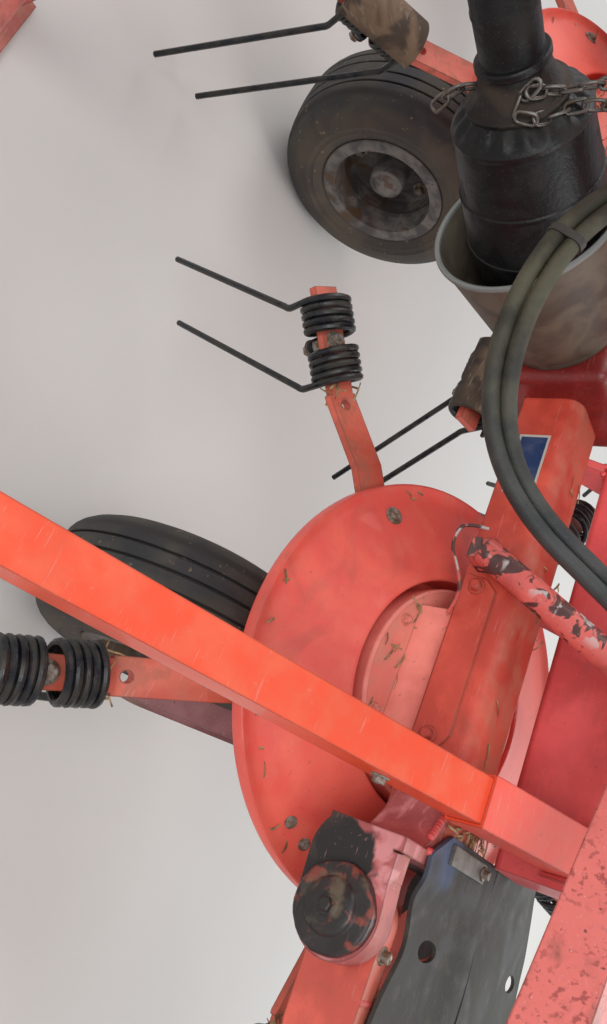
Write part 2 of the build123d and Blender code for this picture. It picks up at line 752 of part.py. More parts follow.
shaft = turned(
    shaft_plane,
    (0, 0),
    (SHAFT_R, 0),
    (SHAFT_R, YOKE_BACK),
    (YOKE_R, YOKE_BACK),
    (YOKE_R, YOKE_FRONT),
    (YOKE_BORE_R, YOKE_FRONT),
    (YOKE_BORE_R, YOKE_FRONT - YOKE_BORE_LENGTH),
    (0, YOKE_FRONT - YOKE_BORE_LENGTH),
)
save("drive_shaft", shaft + shaft_plane.location * Sphere(JOINT_BALL_R))

# Tongue over the drive shaft, with the boss of the swivel and the stand's sleeve.
tongue_face = Rectangle(2 * TONGUE_HALF, TONGUE_Z[1] - TONGUE_Z[0])
tongue_face -= Rectangle(2 * (TONGUE_HALF - TONGUE_WALL), TONGUE_Z[1] - TONGUE_Z[0] - 2 * TONGUE_WALL)
tongue = along(Pos(0, sum(TONGUE_Z) / 2) * tongue_face, TONGUE_FRONT_Y, MAIN_Y[1] - TONGUE_FRONT_Y)
boss_bore = SWIVEL_R + RUNNING
swivel_boss = rod((0, SWIVEL_Y, TONGUE_Z[0]), (0, SWIVEL_Y, TONGUE_Z[1]), SWIVEL_BOSS_R)
boss_web = block((-SWIVEL_R, SWIVEL_R), (SWIVEL_Y, TONGUE_FRONT_Y + TONGUE_WALL), TONGUE_Z)
boss_hole = rod((0, SWIVEL_Y, TONGUE_Z[0] - 1), (0, SWIVEL_Y, TONGUE_Z[1] + 1), boss_bore)
tongue += swivel_boss + boss_web
tongue -= boss_hole

sleeve_in = STAND_TUBE + 2 * SEAT
sleeve_out = sleeve_in + 2 * STAND_SLEEVE_WALL
stand_x = -TONGUE_HALF - sleeve_out / 2
sleeve_z = sum(STAND_SLEEVE_Z) / 2
sleeve_height = STAND_SLEEVE_Z[1] - STAND_SLEEVE_Z[0]
sleeve = Box(sleeve_out, sleeve_out, sleeve_height) - Box(sleeve_in, sleeve_in, sleeve_height)
tongue += Pos(stand_x, STAND_Y, sleeve_z) * sleeve
for route in HOSE_ROUTES.values():
    tongue += gland(route[0], route[1])
save("tongue", tongue)
stand_leg = block(
    (stand_x - STAND_TUBE / 2, stand_x + STAND_TUBE / 2),
    (STAND_Y - STAND_TUBE / 2, STAND_Y + STAND_TUBE / 2),
    (STAND_FOOT[2], STAND_TOP_Z),
)
foot = Pos(stand_x, STAND_Y, STAND_FOOT[2] / 2) * Box(*STAND_FOOT)
save("parking_stand", stand_leg + foot)

# Headstock: swivel fork and pin, top link mast, legs and the lower hitch bar.
fork_low = (TONGUE_Z[0] - SWIVEL_GAP - CHEEK_T, TONGUE_Z[0] - SWIVEL_GAP)
fork_high = (TONGUE_Z[1] + SWIVEL_GAP, TONGUE_Z[1] + SWIVEL_GAP + CHEEK_T)
head_y = HITCH_Y + HEAD_TUBE_R + 20
head = rod((0, SWIVEL_Y, fork_low[0] - 6), (0, SWIVEL_Y, fork_high[1] + 6), SWIVEL_R)
for low, high in (fork_low, fork_high):
    plate = outline(
        (-SWIVEL_BOSS_R, SWIVEL_Y),
        (SWIVEL_BOSS_R, SWIVEL_Y),
        (SWIVEL_BOSS_R + CHEEK_T, head_y),
        (-SWIVEL_BOSS_R - CHEEK_T, head_y),
    )
    plate += Pos(0, SWIVEL_Y) * Circle(SWIVEL_BOSS_R)
    head += Pos(0, 0, low) * extrude(plate, high - low)
head += rod((-HEAD_TOP_HALF, head_y, HEAD_TOP_Z), (HEAD_TOP_HALF, head_y, HEAD_TOP_Z), HEAD_TUBE_R)
mast_face = hull(((head_y - 10, TOP_LINK_Z), MAST_TOP_R), ((head_y, HEAD_TOP_Z), MAST_FOOT_R))
mast_face -= Pos(head_y - 10, TOP_LINK_Z) * Circle(TOP_LINK_R)
mast_face -= Pos(head_y, HEAD_TOP_Z) * Circle(HEAD_TUBE_R + SEAT)
for low, high in (fork_low, fork_high):
    mast_face -= Pos(head_y + MAST_FOOT_R, (low + high) / 2) * Rectangle(2 * MAST_FOOT_R, high - low)
cheeks = [across(mast_face, x, CHEEK_T) for x in (-TOP_LINK_GAP / 2 - CHEEK_T, TOP_LINK_GAP / 2)]
save("top_link_mast", *cheeks)
for side in SIDES.values():
    top = (side * (HEAD_TOP_HALF - HEAD_TUBE_R), head_y, HEAD_TOP_Z)
    head += rod(top, (side * HEAD_FOOT_HALF, HITCH_Y, HITCH_Z), HEAD_TUBE_R - 4)
head += rod((-HITCH_HALF, HITCH_Y, HITCH_Z), (HITCH_HALF, HITCH_Y, HITCH_Z), HEAD_TUBE_R)
pin_end = HITCH_HALF + HITCH_PIN_LENGTH
head += rod((-pin_end, HITCH_Y, HITCH_Z), (pin_end, HITCH_Y, HITCH_Z), HITCH_PIN_R)
save("headstock", head)

# Guard arms on top of the main beam, their round braces and the front rail.
arm_plane = Plane(
    origin=(*GUARD_ARM_START, MAIN_Z[1] + GUARD_TUBE / 2),
    x_dir=(0, 0, 1),
    z_dir=(math.cos(math.radians(GUARD_TURN)), -math.sin(math.radians(GUARD_TURN)), 0),
)
arm_face = Rectangle(GUARD_TUBE, GUARD_TUBE)
guard_arm = extrude(arm_plane * arm_face, GUARD_ARM_LENGTH)
arm_bore = Rectangle(GUARD_TUBE - 2 * GUARD_ARM_WALL, GUARD_TUBE - 2 * GUARD_ARM_WALL)
guard_arm -= extrude(arm_plane * arm_bore, GUARD_ARM_LENGTH - GUARD_ARM_WALL)
save("guard_arms", *[on_side(side, guard_arm) for side in SIDES.values()])
arm_end = arm_plane.from_local_coords((0, 0, GUARD_ARM_LENGTH))
brace = rod(BRACE_FOOT, (*BRACE_HEAD, MAIN_Z[1]), BRACE_R)
brace_tab = block(
    (BRACE_FOOT[0] - 13, BRACE_FOOT[0] + 13),
    (BRACE_FOOT[1] - 4, DRIVE_Y[0]),
    (BRACE_FOOT[2] - 16, BRACE_FOOT[2] + 14),
)
brace_cut = block((0, 1000), (-500, 500), (MAIN_Z[1], MAIN_Z[1] + 50))
save("guard_braces", *[on_side(side, brace + brace_tab - brace_cut) for side in SIDES.values()])

rail_z = on_bar(BAR_FRONT_Y)[2]
reach = arm_end + 70 * arm_plane.z_dir
rail_points = [
    arm_end,
    reach,
    Vector(reach.X + 10, BAR_FRONT_Y, rail_z),
    Vector(-reach.X - 10, BAR_FRONT_Y, rail_z),
    Vector(-reach.X, reach.Y, reach.Z),
    Vector(-arm_end.X, arm_end.Y, arm_end.Z),
]
rail_path = FilletPolyline(*rail_points, radius=[30, 120, 120, 30])
rail_start = Plane(origin=rail_points[0], z_dir=rail_points[1] - rail_points[0])
save("guard_rail", sweep(rail_start * Circle(RAIL_R), path=rail_path))

# Fold hinges: cast brackets with two ears and a curved shoulder, and their pins.
plate_x = (DRIVE_END_X, DRIVE_END_X + HINGE_PLATE_T)
hinge = block(plate_x, (EAR_FRONT_Y, EAR_REAR_Y + EAR_T), (DRIVE_Z[0] - 8, DRIVE_Z[1]))
ear = hull(((FOLD_X, FOLD_Z), EAR_BOSS_R), ((plate_x[1] + 20, FOLD_Z - 4), EAR_BOSS_R))
ear &= Pos(plate_x[0] + 2 * EAR_BOSS_R, FOLD_Z) * Rectangle(4 * EAR_BOSS_R, 4 * EAR_BOSS_R)
ear -= Pos(FOLD_X, FOLD_Z) * Circle(PIN_R + RUNNING)
hinge += along(ear, EAR_FRONT_Y, EAR_T) + along(ear, EAR_REAR_Y, EAR_T)
shoulder_line = ThreePointArc(
    (SHOULDER_X[0], DRIVE_Y[0]),
    (DRIVE_END_X - 8, DRIVE_Y[0] - 30),
    (plate_x[1] + 2, EAR_FRONT_Y),
)
shoulder_edge = Polyline(
    (plate_x[1] + 2, EAR_FRONT_Y),
    (SHOULDER_X[1], EAR_FRONT_Y),
    (SHOULDER_X[1], EAR_FRONT_Y + EAR_T),
    (plate_x[1], EAR_FRONT_Y + EAR_T),
    (plate_x[1], DRIVE_Y[0]),
    (SHOULDER_X[0], DRIVE_Y[0]),
)
shoulder = make_face(shoulder_line + shoulder_edge)
hinge += Pos(0, 0, SHOULDER_Z[0]) * extrude(shoulder, SHOULDER_Z[1] - SHOULDER_Z[0], dir=(0, 0, 1))
save("hinge_brackets", *[on_side(side, hinge) for side in SIDES.values()])


def fold_pin(head_y, tip_y):
    """A pin from its head at an ear's outer face to its tip inside the knuckle."""
    outward = -1 if tip_y > head_y else 1
    washer_y = head_y + outward * PIN_WASHER_T
    pin = rod((FOLD_X, head_y, FOLD_Z), (FOLD_X, tip_y, FOLD_Z), PIN_R)
    pin += rod((FOLD_X, washer_y, FOLD_Z), (FOLD_X, head_y, FOLD_Z), PIN_WASHER_R)
    pin += rod((FOLD_X, washer_y + outward * PIN_HEAD_T, FOLD_Z), (FOLD_X, washer_y, FOLD_Z), PIN_HEAD_R)
    return pin


front_pin = fold_pin(EAR_FRONT_Y, EAR_FRONT_Y + EAR_T + KNUCKLE_GAP + KNUCKLE_T)
rear_pin = fold_pin(EAR_REAR_Y + EAR_T, EAR_REAR_Y - KNUCKLE_GAP - KNUCKLE_T)
save("fold_pins", *[on_side(side, pin) for side in SIDES.values() for pin in (front_pin, rear_pin)])

# Rubber flap over each hinge, held on the drive beam's end by a clamping strip.
flap_z = (DRIVE_Z[1], DRIVE_Z[1] + COVER_T)
flap = block(FLAP_X, FLAP_Y, flap_z)
flap += block((FLAP_X[1], FLAP_TAIL_X), (EAR_REAR_Y - 1, FLAP_Y[1]), flap_z)
clamp = block(CLAMP_X, CLAMP_Y, (flap_z[1], flap_z[1] + CLAMP_T))
save("joint_flaps", *[on_side(side, flap) for side in SIDES.values()])
save("cover_clamps", *[on_side(side, clamp) for side in SIDES.values()])

# Wings: knuckles on the fold pins, beam, arm for the fold cylinder, joint cover.
wing_face = Rectangle(WING_Y[1] - WING_Y[0], WING_Z[1] - WING_Z[0])
wing_face = fillet(wing_face.vertices().group_by(Axis.Y)[-1], DRIVE_ROUND)
wing_mid_z = sum(WING_Z) / 2
wing_length = WING_BEAM_X[1] - WING_BEAM_X[0]
wing = across(Pos(sum(WING_Y) / 2, wing_mid_z) * wing_face, WING_BEAM_X[0], wing_length)
knuckle_y = (EAR_FRONT_Y + EAR_T + KNUCKLE_GAP, EAR_REAR_Y - KNUCKLE_GAP - KNUCKLE_T)
knuckle = hull(((FOLD_X, FOLD_Z), KNUCKLE_BOSS_R), ((WING_BEAM_X[0] + 40, wing_mid_z), KNUCKLE_BOSS_R - 2))
knuckle -= Pos(FOLD_X, FOLD_Z) * Circle(PIN_R + RUNNING)
for y in knuckle_y:
    wing += along(knuckle, y, KNUCKLE_T)
wing += block(
    (WING_BEAM_X[0] + 4, WING_BEAM_X[0] + 40),
    (knuckle_y[0], knuckle_y[1] + KNUCKLE_T),
    (WING_Z[0] + 4, WING_Z[1] - 4),
)
lug_x, lug_z = CYLINDER_LUG
lug_y = CYLINDER_Y - LUG_PLATE_T / 2
lug_foot_z = WING_Z[0] + 46
wing += block(
    (lug_x + 45, lug_x + 125),
    (WING_Y[1] - 5, lug_y + LUG_PLATE_T),
    (WING_Z[0] + 20, WING_Z[1] - 6),
)
lug_face = hull(
    ((lug_x, lug_z), EYE_R - 4),
    ((lug_x + 68, lug_foot_z), EYE_R - 4),
    ((lug_x + 102, lug_foot_z), EYE_R - 4),
)
lug_face -= Pos(lug_x, lug_z) * Circle(LINK_PIN_R)
wing += along(lug_face, lug_y, LUG_PLATE_T)
cover_y = (FLAP_Y[0], EAR_REAR_Y - COVER_GAP)
cover = block(COVER_X, cover_y, (WING_Z[1], WING_Z[1] + COVER_T))
bow_root = WING_BEAM_X[1] + BOW_PLATE_T / 2
bow_path = FilletPolyline(
    (bow_root, WING_Y[0] + BOW_R, wing_mid_z),
    (bow_root + 140, BOW_Y[0], wing_mid_z),
    (BOW_REACH - BOW_R, BOW_Y[0], wing_mid_z),
    (BOW_REACH - BOW_R, BOW_Y[1], wing_mid_z),
    (bow_root + 140, BOW_Y[1], wing_mid_z),
    (bow_root, WING_Y[1] - BOW_R, wing_mid_z),
    radius=BOW_BEND,
)
bow = sweep(Plane(origin=bow_path @ 0, z_dir=bow_path % 0) * Circle(BOW_R), path=bow_path)
bow += block((WING_BEAM_X[1], WING_BEAM_X[1] + BOW_PLATE_T), WING_Y, WING_Z)
bow -= block((WING_BEAM_X[1] - 100, WING_BEAM_X[1]), (-200, 200), WING_Z)
for name, side in SIDES.items():
    save(f"wing_beam_{name}", on_side(side, wing))
    save(f"joint_cover_{name}", on_side(side, cover))
    save(f"guard_bow_{name}", on_side(side, bow))

# Fold cylinders: anchor pins, barrels and rods, drawn at rest with the wings down.
base = Vector(CYLINDER_BASE[0], CYLINDER_Y, CYLINDER_BASE[1])
lug = Vector(lug_x, CYLINDER_Y, lug_z)
stroke_dir = (lug - base).normalized()
rest_length = (lug - base).length


def on_cylinder(distance):
    return tuple(base + stroke_dir * distance)


eye = rod((base.X, CYLINDER_Y - EYE_T / 2, base.Z), (base.X, CYLINDER_Y + EYE_T / 2, base.Z), EYE_R)
barrel_start = EYE_R - 4
barrel_end = EYE_R + BARREL_LENGTH
barrel = eye + rod(on_cylinder(barrel_start), on_cylinder(barrel_end), BARREL_R)
eye_hole = rod(
    (base.X, CYLINDER_Y - BARREL_R, base.Z),
    (base.X, CYLINDER_Y + BARREL_R, base.Z),
    LINK_PIN_R + RUNNING,
)
barrel -= eye_hole
barrel -= rod(on_cylinder(barrel_start + BARREL_FLOOR), on_cylinder(barrel_end + 1), ROD_R + RUNNING)
fork_back = rest_length - EYE_R - 22
rod_back = barrel_end - PISTON_LENGTH
piston = rod(on_cylinder(rod_back), on_cylinder(fork_back), ROD_R)
fork_half = LUG_PLATE_T / 2 + FORK_GAP + FORK_T
piston_base = Plane(origin=on_cylinder(fork_back), x_dir=(0, 1, 0), z_dir=stroke_dir)
piston += extrude(piston_base * Rectangle(2 * fork_half, 36), 12)
cheek_back = on_cylinder(fork_back + EYE_R - 8)  # the cheeks end flush with the fork's back
cheek = hull(((lug.X, lug.Z), EYE_R - 8), ((cheek_back[0], cheek_back[2]), EYE_R - 8))
for y in (CYLINDER_Y - fork_half, CYLINDER_Y + fork_half - FORK_T):
    piston += along(cheek, y, FORK_T)
for name, side in SIDES.items():
    save(f"cylinder_barrel_{name}", on_side(side, barrel))
    save(f"cylinder_rod_{name}", on_side(side, piston))

# Hydraulic hoses, with the bend radii that their real courses allow.
for name, route in HOSE_ROUTES.items():
    points = [Vector(*point) for point in route]
    radii = []
    for before, corner, after in zip(points, points[1:], points[2:]):
        arriving, leaving = corner - before, after - corner
        half_turn = math.radians(arriving.get_angle(leaving)) / 2
        radii.append(0.45 * min(arriving.length, leaving.length) / math.tan(half_turn))
    course = FilletPolyline(*points, radius=radii)
    mouth = Plane(origin=points[0], z_dir=points[1] - points[0])
    save(f"hose_{name}", sweep(mouth * Circle(HOSE_R), path=course))
    print(f"hose_{name}", round(course.length), [round(radius) for radius in radii])

# Guard chain: links turned by a quarter from one to the next, each held in the last.
link_length, link_width = LINK_SIZE
link_face = SlotOverall(link_length, link_width)
link_face -= SlotOverall(link_length - 2 * CHAIN_WIRE, link_width - 2 * CHAIN_WIRE)
link = extrude(link_face, CHAIN_WIRE / 2, both=True)
link_pitch = link_length - 2 * CHAIN_WIRE - SEAT
hang = Rot(-CHAIN_LEAN, 0, 0)
first_z = TONGUE_Z[0] - link_length / 2 - SEAT
links = []
for index in range(LINK_COUNT):
    centre = Pos(CHAIN_TOP[0], CHAIN_TOP[1], first_z) * hang * Pos(0, 0, -index * link_pitch)
    links.append(centre * Rot(0, 0, 90 * index) * Rot(0, 90, 0) * link)
save("guard_chain", *links)
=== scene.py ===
import math
import random

import bpy
from mathutils import Matrix, Vector


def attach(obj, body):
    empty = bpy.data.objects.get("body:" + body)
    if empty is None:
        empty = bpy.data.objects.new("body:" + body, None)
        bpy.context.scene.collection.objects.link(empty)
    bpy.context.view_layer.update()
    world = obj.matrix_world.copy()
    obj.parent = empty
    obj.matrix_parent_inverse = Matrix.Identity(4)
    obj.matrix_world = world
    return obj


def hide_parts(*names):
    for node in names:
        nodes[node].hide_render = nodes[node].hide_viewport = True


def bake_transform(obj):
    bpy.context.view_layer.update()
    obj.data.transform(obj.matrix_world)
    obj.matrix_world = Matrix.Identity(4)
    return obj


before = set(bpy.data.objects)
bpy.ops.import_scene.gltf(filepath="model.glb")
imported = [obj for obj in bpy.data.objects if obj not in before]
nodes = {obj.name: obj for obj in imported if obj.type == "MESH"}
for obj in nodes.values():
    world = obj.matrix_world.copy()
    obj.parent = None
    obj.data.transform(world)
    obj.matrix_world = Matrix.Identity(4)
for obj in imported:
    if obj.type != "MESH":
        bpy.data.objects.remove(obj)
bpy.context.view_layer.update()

# The view. It stands before the right side of the frame and looks down and to the left. The
# picture is kept turned a quarter turn, so the machine's top points to its right.
def placed(name, data):
    """A new object in the scene."""
    made = bpy.data.objects.new(name, data)
    bpy.context.scene.collection.objects.link(made)
    return made


AXLE = 103.0  # the wheels' axle line on the row frame's Y, in millimetres
SIDES = {"left": -1, "right": 1}
EYE = Vector((0.72509, AXLE / 1000 - 0.872935, 1.040689))
YAW, PITCH, ROLL = 0.475226, 0.622678, 0.119713
FOCAL_PX, PICTURE_HEIGHT = 830.837, 1024
ahead = Vector(
    (-math.sin(YAW) * math.cos(PITCH), math.cos(YAW) * math.cos(PITCH), -math.sin(PITCH))
)
level = Vector((math.cos(YAW), math.sin(YAW), 0))
upright = level.cross(ahead)
rolled_level = level * math.cos(ROLL) + upright * math.sin(ROLL)
rolled_upright = upright * math.cos(ROLL) - level * math.sin(ROLL)
camera_data = bpy.data.cameras.new("view")
camera_data.lens = FOCAL_PX / PICTURE_HEIGHT * camera_data.sensor_width
camera_data.clip_start = 0.01
camera = placed("view", camera_data)
turn = Matrix((rolled_upright, -rolled_level, -ahead)).transposed()
camera.matrix_world = Matrix.Translation(EYE) @ turn.to_4x4()
bpy.context.scene.camera = camera


# The two hydraulic hoses. Smooth black rubber, dull grey-green with dust where they hang before
# the gearbox and cleaner towards the block on the main beam, which they are screwed into.
def at(x, y, z):
    """A point in millimetres, with Y counted from the wheels' axle line, in the row frame."""
    return Vector((x, y + AXLE, z)) / 1000


class Line:
    """One socket of a finish, which is added and multiplied as a number is."""

    def __init__(self, finish, socket):
        self.finish = finish
        self.socket = socket

    def __add__(self, other):
        return self.finish.maths("ADD", self, other)

    def __sub__(self, other):
        return self.finish.maths("SUBTRACT", self, other)

    def __rsub__(self, other):
        return self.finish.maths("SUBTRACT", other, self)

    def __mul__(self, other):
        return self.finish.maths("MULTIPLY", self, other)

    __radd__ = __add__
    __rmul__ = __mul__


class Finish:
    """One material: its shader, its colour so far, and the nodes that vary over the surface."""

    def __init__(self, name, metallic=0.0, coat=0.0):
        self.material = bpy.data.materials.new(name)
        self.material.use_nodes = True
        self.tree = self.material.node_tree
        self.shader = self.tree.nodes["Principled BSDF"]
        self.shader.inputs["Metallic"].default_value = metallic
        self.shader.inputs["Coat Weight"].default_value = coat
        self.place = self.node("ShaderNodeTexCoord", output="Object")

    def node(self, kind, settings=None, values=None, output=0):
        made = self.tree.nodes.new(kind)
        for setting, value in (settings or {}).items():
            setattr(made, setting, value)
        for socket, value in (values or {}).items():
            self.put(made.inputs[socket], value)
        return Line(self, made.outputs[output])

    def put(self, socket, value):
        if isinstance(value, Line):
            self.tree.links.new(value.socket, socket)
        elif socket.type == "RGBA":
            socket.default_value = (*value, 1)
        else:
            socket.default_value = value

    def maths(self, operation, *values):
        return self.node("ShaderNodeMath", {"operation": operation}, dict(enumerate(values)))

    def vectors(self, operation, first, second, output="Value"):
        values = {0: first, 1: second}
        return self.node("ShaderNodeVectorMath", {"operation": operation}, values, output)

    def mix(self, amount, first, second):
        values = {0: amount, 6: first, 7: second}
        return self.node("ShaderNodeMix", {"data_type": "RGBA"}, values, 2)

    def ground(self, amount, first, second):
        """The colour that everything else lies on."""
        self.colour = self.mix(amount, first, second)

    def layer(self, amount, colour):
        """One more colour over those that are there."""
        self.colour = self.mix(amount, self.colour, colour)

    def cloud(self, scale, detail=4.0, stretch=(1, 1, 1), warp=0.0, turned=(0, 0, 0)):
        vector = self.place
        if stretch != (1, 1, 1) or turned != (0, 0, 0):
            values = {"Vector": self.place, "Scale": stretch, "Rotation": turned}
            vector = self.node("ShaderNodeMapping", {}, values)
        values = {"Vector": vector, "Scale": scale, "Detail": detail, "Distortion": warp}
        return self.node("ShaderNodeTexNoise", {}, values)

    def step(self, value, low, high):
        """0 up to low and 1 from high on, with a soft change between."""
        values = {"Value": value, "From Min": low, "From Max": high}
        return self.node("ShaderNodeMapRange", {"interpolation_type": "SMOOTHSTEP"}, values)

    def spots(self, low, high, *scale, **shape):
        """A cloud that is 0 up to low and 1 from high on."""
        return self.step(self.cloud(*scale, **shape), low, high)

    def along(self, direction):
        """How far a point lies along a direction, in metres."""
        return self.vectors("DOT_PRODUCT", self.place, direction)

    def facing(self, direction):
        """1 where the surface faces a direction, and -1 where it faces away."""
        normal = self.node("ShaderNodeNewGeometry", output="Normal")
        return self.vectors("DOT_PRODUCT", normal, direction)

    def rounded(self, radius):
        return self.node("ShaderNodeBevel", {"samples": 4}, {"Radius": radius}, "Normal")

    def edges(self, round_normal):
        """0 on flat faces, and up to 0.3 on a sharp edge."""
        return 1 - self.facing(round_normal)

    def apply(self, roughness, height, depth, normal=None):
        self.put(self.shader.inputs["Base Color"], self.colour)
        self.put(self.shader.inputs["Roughness"], roughness)
        values = {"Distance": depth, "Height": height}
        if normal:
            values["Normal"] = normal
        self.put(self.shader.inputs["Normal"], self.node("ShaderNodeBump", {}, values))
        return self.material


def hose_rubber():
    rubber = Finish("hose_rubber")
    dusty = rubber.step(rubber.along((1, 0, 0)), 0.48, 0.24)
    blotches = rubber.spots(0.35, 0.65, 26, 5)
    clean = rubber.mix(blotches, (0.014, 0.017, 0.020), (0.034, 0.036, 0.036))
    dust = rubber.mix(blotches, (0.026, 0.023, 0.011), (0.080, 0.073, 0.040))
    rubber.ground(dusty * 0.85, clean, dust)
    height = rubber.cloud(900, 2) + 0.6 * blotches
    return rubber.apply(0.42 + 0.3 * dusty, height, 0.0006)


def two_tone(name, spots, colours, rough, grain, depth, radius, **shader):
    """A finish of two colours in soft spots, which are rougher, with rounded edges."""
    finish = Finish(name, **shader)
    amount = finish.spots(*spots)
    finish.ground(amount, *colours)
    rough = rough[0] + rough[1] * amount
    return finish.apply(rough, finish.cloud(*grain), depth, finish.rounded(radius))


def zinc(name, shade=0.30):
    colours = (shade, shade * 0.98, shade * 0.9), (0.13, 0.10, 0.07)
    return two_tone(
        name, (0.42, 0.7, 90, 6), colours, (0.38, 0.3), (300, 3), 0.0003, 0.0008, metallic=0.85
    )


def choose(*pieces):
    """Selects the pieces and nothing else, and makes the first one active."""
    bpy.ops.object.select_all(action="DESELECT")
    for piece in pieces:
        piece.select_set(True)
    if pieces:
        bpy.context.view_layer.objects.active = pieces[0]


def edit(*steps):
    """Runs each operator on the whole of the active mesh."""
    bpy.ops.object.mode_set(mode="EDIT")
    for operator, settings in steps:
        bpy.ops.mesh.select_all(action="SELECT")
        operator(**settings)
    bpy.ops.object.mode_set(mode="OBJECT")


def soften(degrees=35):
    bpy.ops.object.shade_smooth_by_angle(angle=math.radians(degrees))


def turned(name, section, start, toward, steps=24):
    """A piece turned on the line from start: (radius, distance) points in millimetres."""
    axis = Vector(toward).normalized()
    across = axis.orthogonal().normalized()
    points = [start + (axis * distance + across * radius) / 1000 for radius, distance in section]
    mesh = bpy.data.meshes.new(name)
    mesh.from_pydata(points, [(i, i + 1) for i in range(len(points) - 1)], [])
    piece = placed(name, mesh)
    choose(piece)
    edit(
        (bpy.ops.mesh.spin, {"steps": steps, "angle": math.tau, "center": start, "axis": axis}),
        (bpy.ops.mesh.remove_doubles, {"threshold": 0.00002}),
        (bpy.ops.mesh.normals_make_consistent, {"inside": False}),
    )
    soften()
    return piece


def joined(name, pieces):
    choose(*pieces)
    if len(pieces) > 1:
        bpy.ops.object.join()
    pieces[0].name = name
    return pieces[0]


def fit(piece, body, finish, slot, *stands_for):
    """Gives a finished piece its material and its body, and hides the nodes that it stands for."""
    piece.data.materials.clear()
    piece.data.materials.append(finish)
    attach(piece, body)
    if stands_for:
        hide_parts(*stands_for)
    return piece


def curve(name, points, kind="NURBS"):
    """An open line through points in metres."""
    line = bpy.data.curves.new(name, "CURVE")
    line.dimensions = "3D"
    spline = line.splines.new(kind)
    spline.points.add(len(points) - 1)
    for point, place in zip(spline.points, points):
        point.co = (*place, 1)
    if kind == "NURBS":
        spline.order_u = 3
        spline.use_endpoint_u = True
    return placed(name, line)


def course(line):
    """The points along a line that isn't thickened yet."""
    return [vertex.co.copy() for vertex in bpy.data.meshes.new_from_object(line).vertices]


def thicken(line, radius, rings):
    """Makes a line round, with a radius in millimetres."""
    line.data.bevel_depth = radius / 1000
    line.data.bevel_resolution = rings


HOSE_R = 7.5
HOSES = {
    "upper": (
        0.871,
        (
            (62, -332, 897), (100, -364, 868), (180, -400, 812), (272, -394, 780), (348, -354, 770),
            (392, -292, 788), (424, -218, 852), (446, -62, 930), (452, 45, 930), (452, 105, 890),
        ),
    ),
    "lower": (
        0.887,
        (
            (60, -344, 874), (93, -369, 855), (174, -407, 799.5), (269, -401, 766.5),
            (353, -361, 758), (406, -300, 785), (439, -221, 852), (466, -64, 930), (472, 45, 930),
            (474, 105, 890),
        ),
    ),
}
SLEEVE = (
    (7.3, 0), (9.4, 0), (10.3, 1), (10.3, 5), (9.6, 5.6), (9.6, 7), (10.3, 7.6), (10.3, 12),
    (9.6, 12.6), (9.6, 14), (10.3, 14.6), (10.3, 19), (9.6, 19.6), (9.6, 21), (10.3, 21.6),
    (10.3, 27), (9.2, 29), (8.2, 30), (7.3, 30),
)
hose_finish = hose_rubber()
fitting_finish = zinc("zinc_plating")
hoses, courses, sleeves = {}, {}, {}
for name, (length, route) in HOSES.items():
    hose = curve(f"hose_{name}_line", [at(*place) for place in route])
    hose.data.resolution_u = 16
    courses[name] = course(hose)
    thicken(hose, HOSE_R, 5)
    hoses[name] = fit(hose, "frame", hose_finish, "hose_rubber", f"hose_{name}")
    ends = [
        turned("sleeve", SLEEVE, at(*end), at(*after) - at(*end))
        for end, after in (route[:2], route[:-3:-1])
    ]
    sleeves[name] = fit(joined(f"hose_sleeves_{name}", ends), "frame", fitting_finish, "bare_steel")


# The clip that keeps the two hoses side by side, a thin plastic band round both. It follows the
# points of both hoses' lines where they hang lowest to the left.
def added(primitive, scale=(1, 1, 1), **settings):
    """A new simple mesh, with its place, turn and scale already applied."""
    choose()
    primitive(**settings)
    made = bpy.context.object
    made.scale = scale
    bpy.ops.object.transform_apply(location=True, rotation=True, scale=True)
    return made


def shaped(piece, kind, **settings):
    """Adds one modifier to a piece and applies it."""
    choose(piece)
    modifier = piece.modifiers.new("shape", kind)
    for setting, value in settings.items():
        setattr(modifier, setting, value)
    bpy.ops.object.modifier_apply(modifier="shape")


CLIP_X = 0.205
CLIP_WIDTH = 0.007
clip_upper = min(courses["upper"], key=lambda place: abs(place.x - CLIP_X))
clip_lower = min(courses["lower"], key=lambda place: (place - clip_upper).length)
index = courses["upper"].index(clip_upper)
clip_along = (courses["upper"][index + 2] - courses["upper"][index - 2]).normalized()
clip_across = (clip_lower - clip_upper).normalized()
clip_depth = clip_along.cross(clip_across).normalized()
clip = added(bpy.ops.mesh.primitive_circle_add, vertices=48, radius=1)
for vertex in clip.data.vertices:
    middle = clip_lower if vertex.co.x > 0 else clip_upper
    around = clip_across * vertex.co.x + clip_depth * vertex.co.y
    vertex.co = middle + around * (HOSE_R + 0.3) / 1000 - clip_along * CLIP_WIDTH / 2
edit(
    (
        bpy.ops.mesh.extrude_region_move,
        {"TRANSFORM_OT_translate": {"value": clip_along * CLIP_WIDTH}},
    ),
    (bpy.ops.mesh.normals_make_consistent, {"inside": False}),
)
shaped(clip, "SOLIDIFY", thickness=0.0014, offset=1)
soften()
clip.name = "hose_clip"
clip_plastic = Finish("clip_plastic")
clip_plastic.ground(clip_plastic.cloud(60, 5), (0.016, 0.016, 0.015), (0.052, 0.047, 0.036))
clip_finish = clip_plastic.apply(0.6, clip_plastic.cloud(500), 0.0003)
fit(clip, "frame", clip_finish, "shaft_plastic")
for name, (length, route) in HOSES.items():
    at(*route[0])
    [sleeves[name], clip] if name == "upper" else [sleeves[name]]


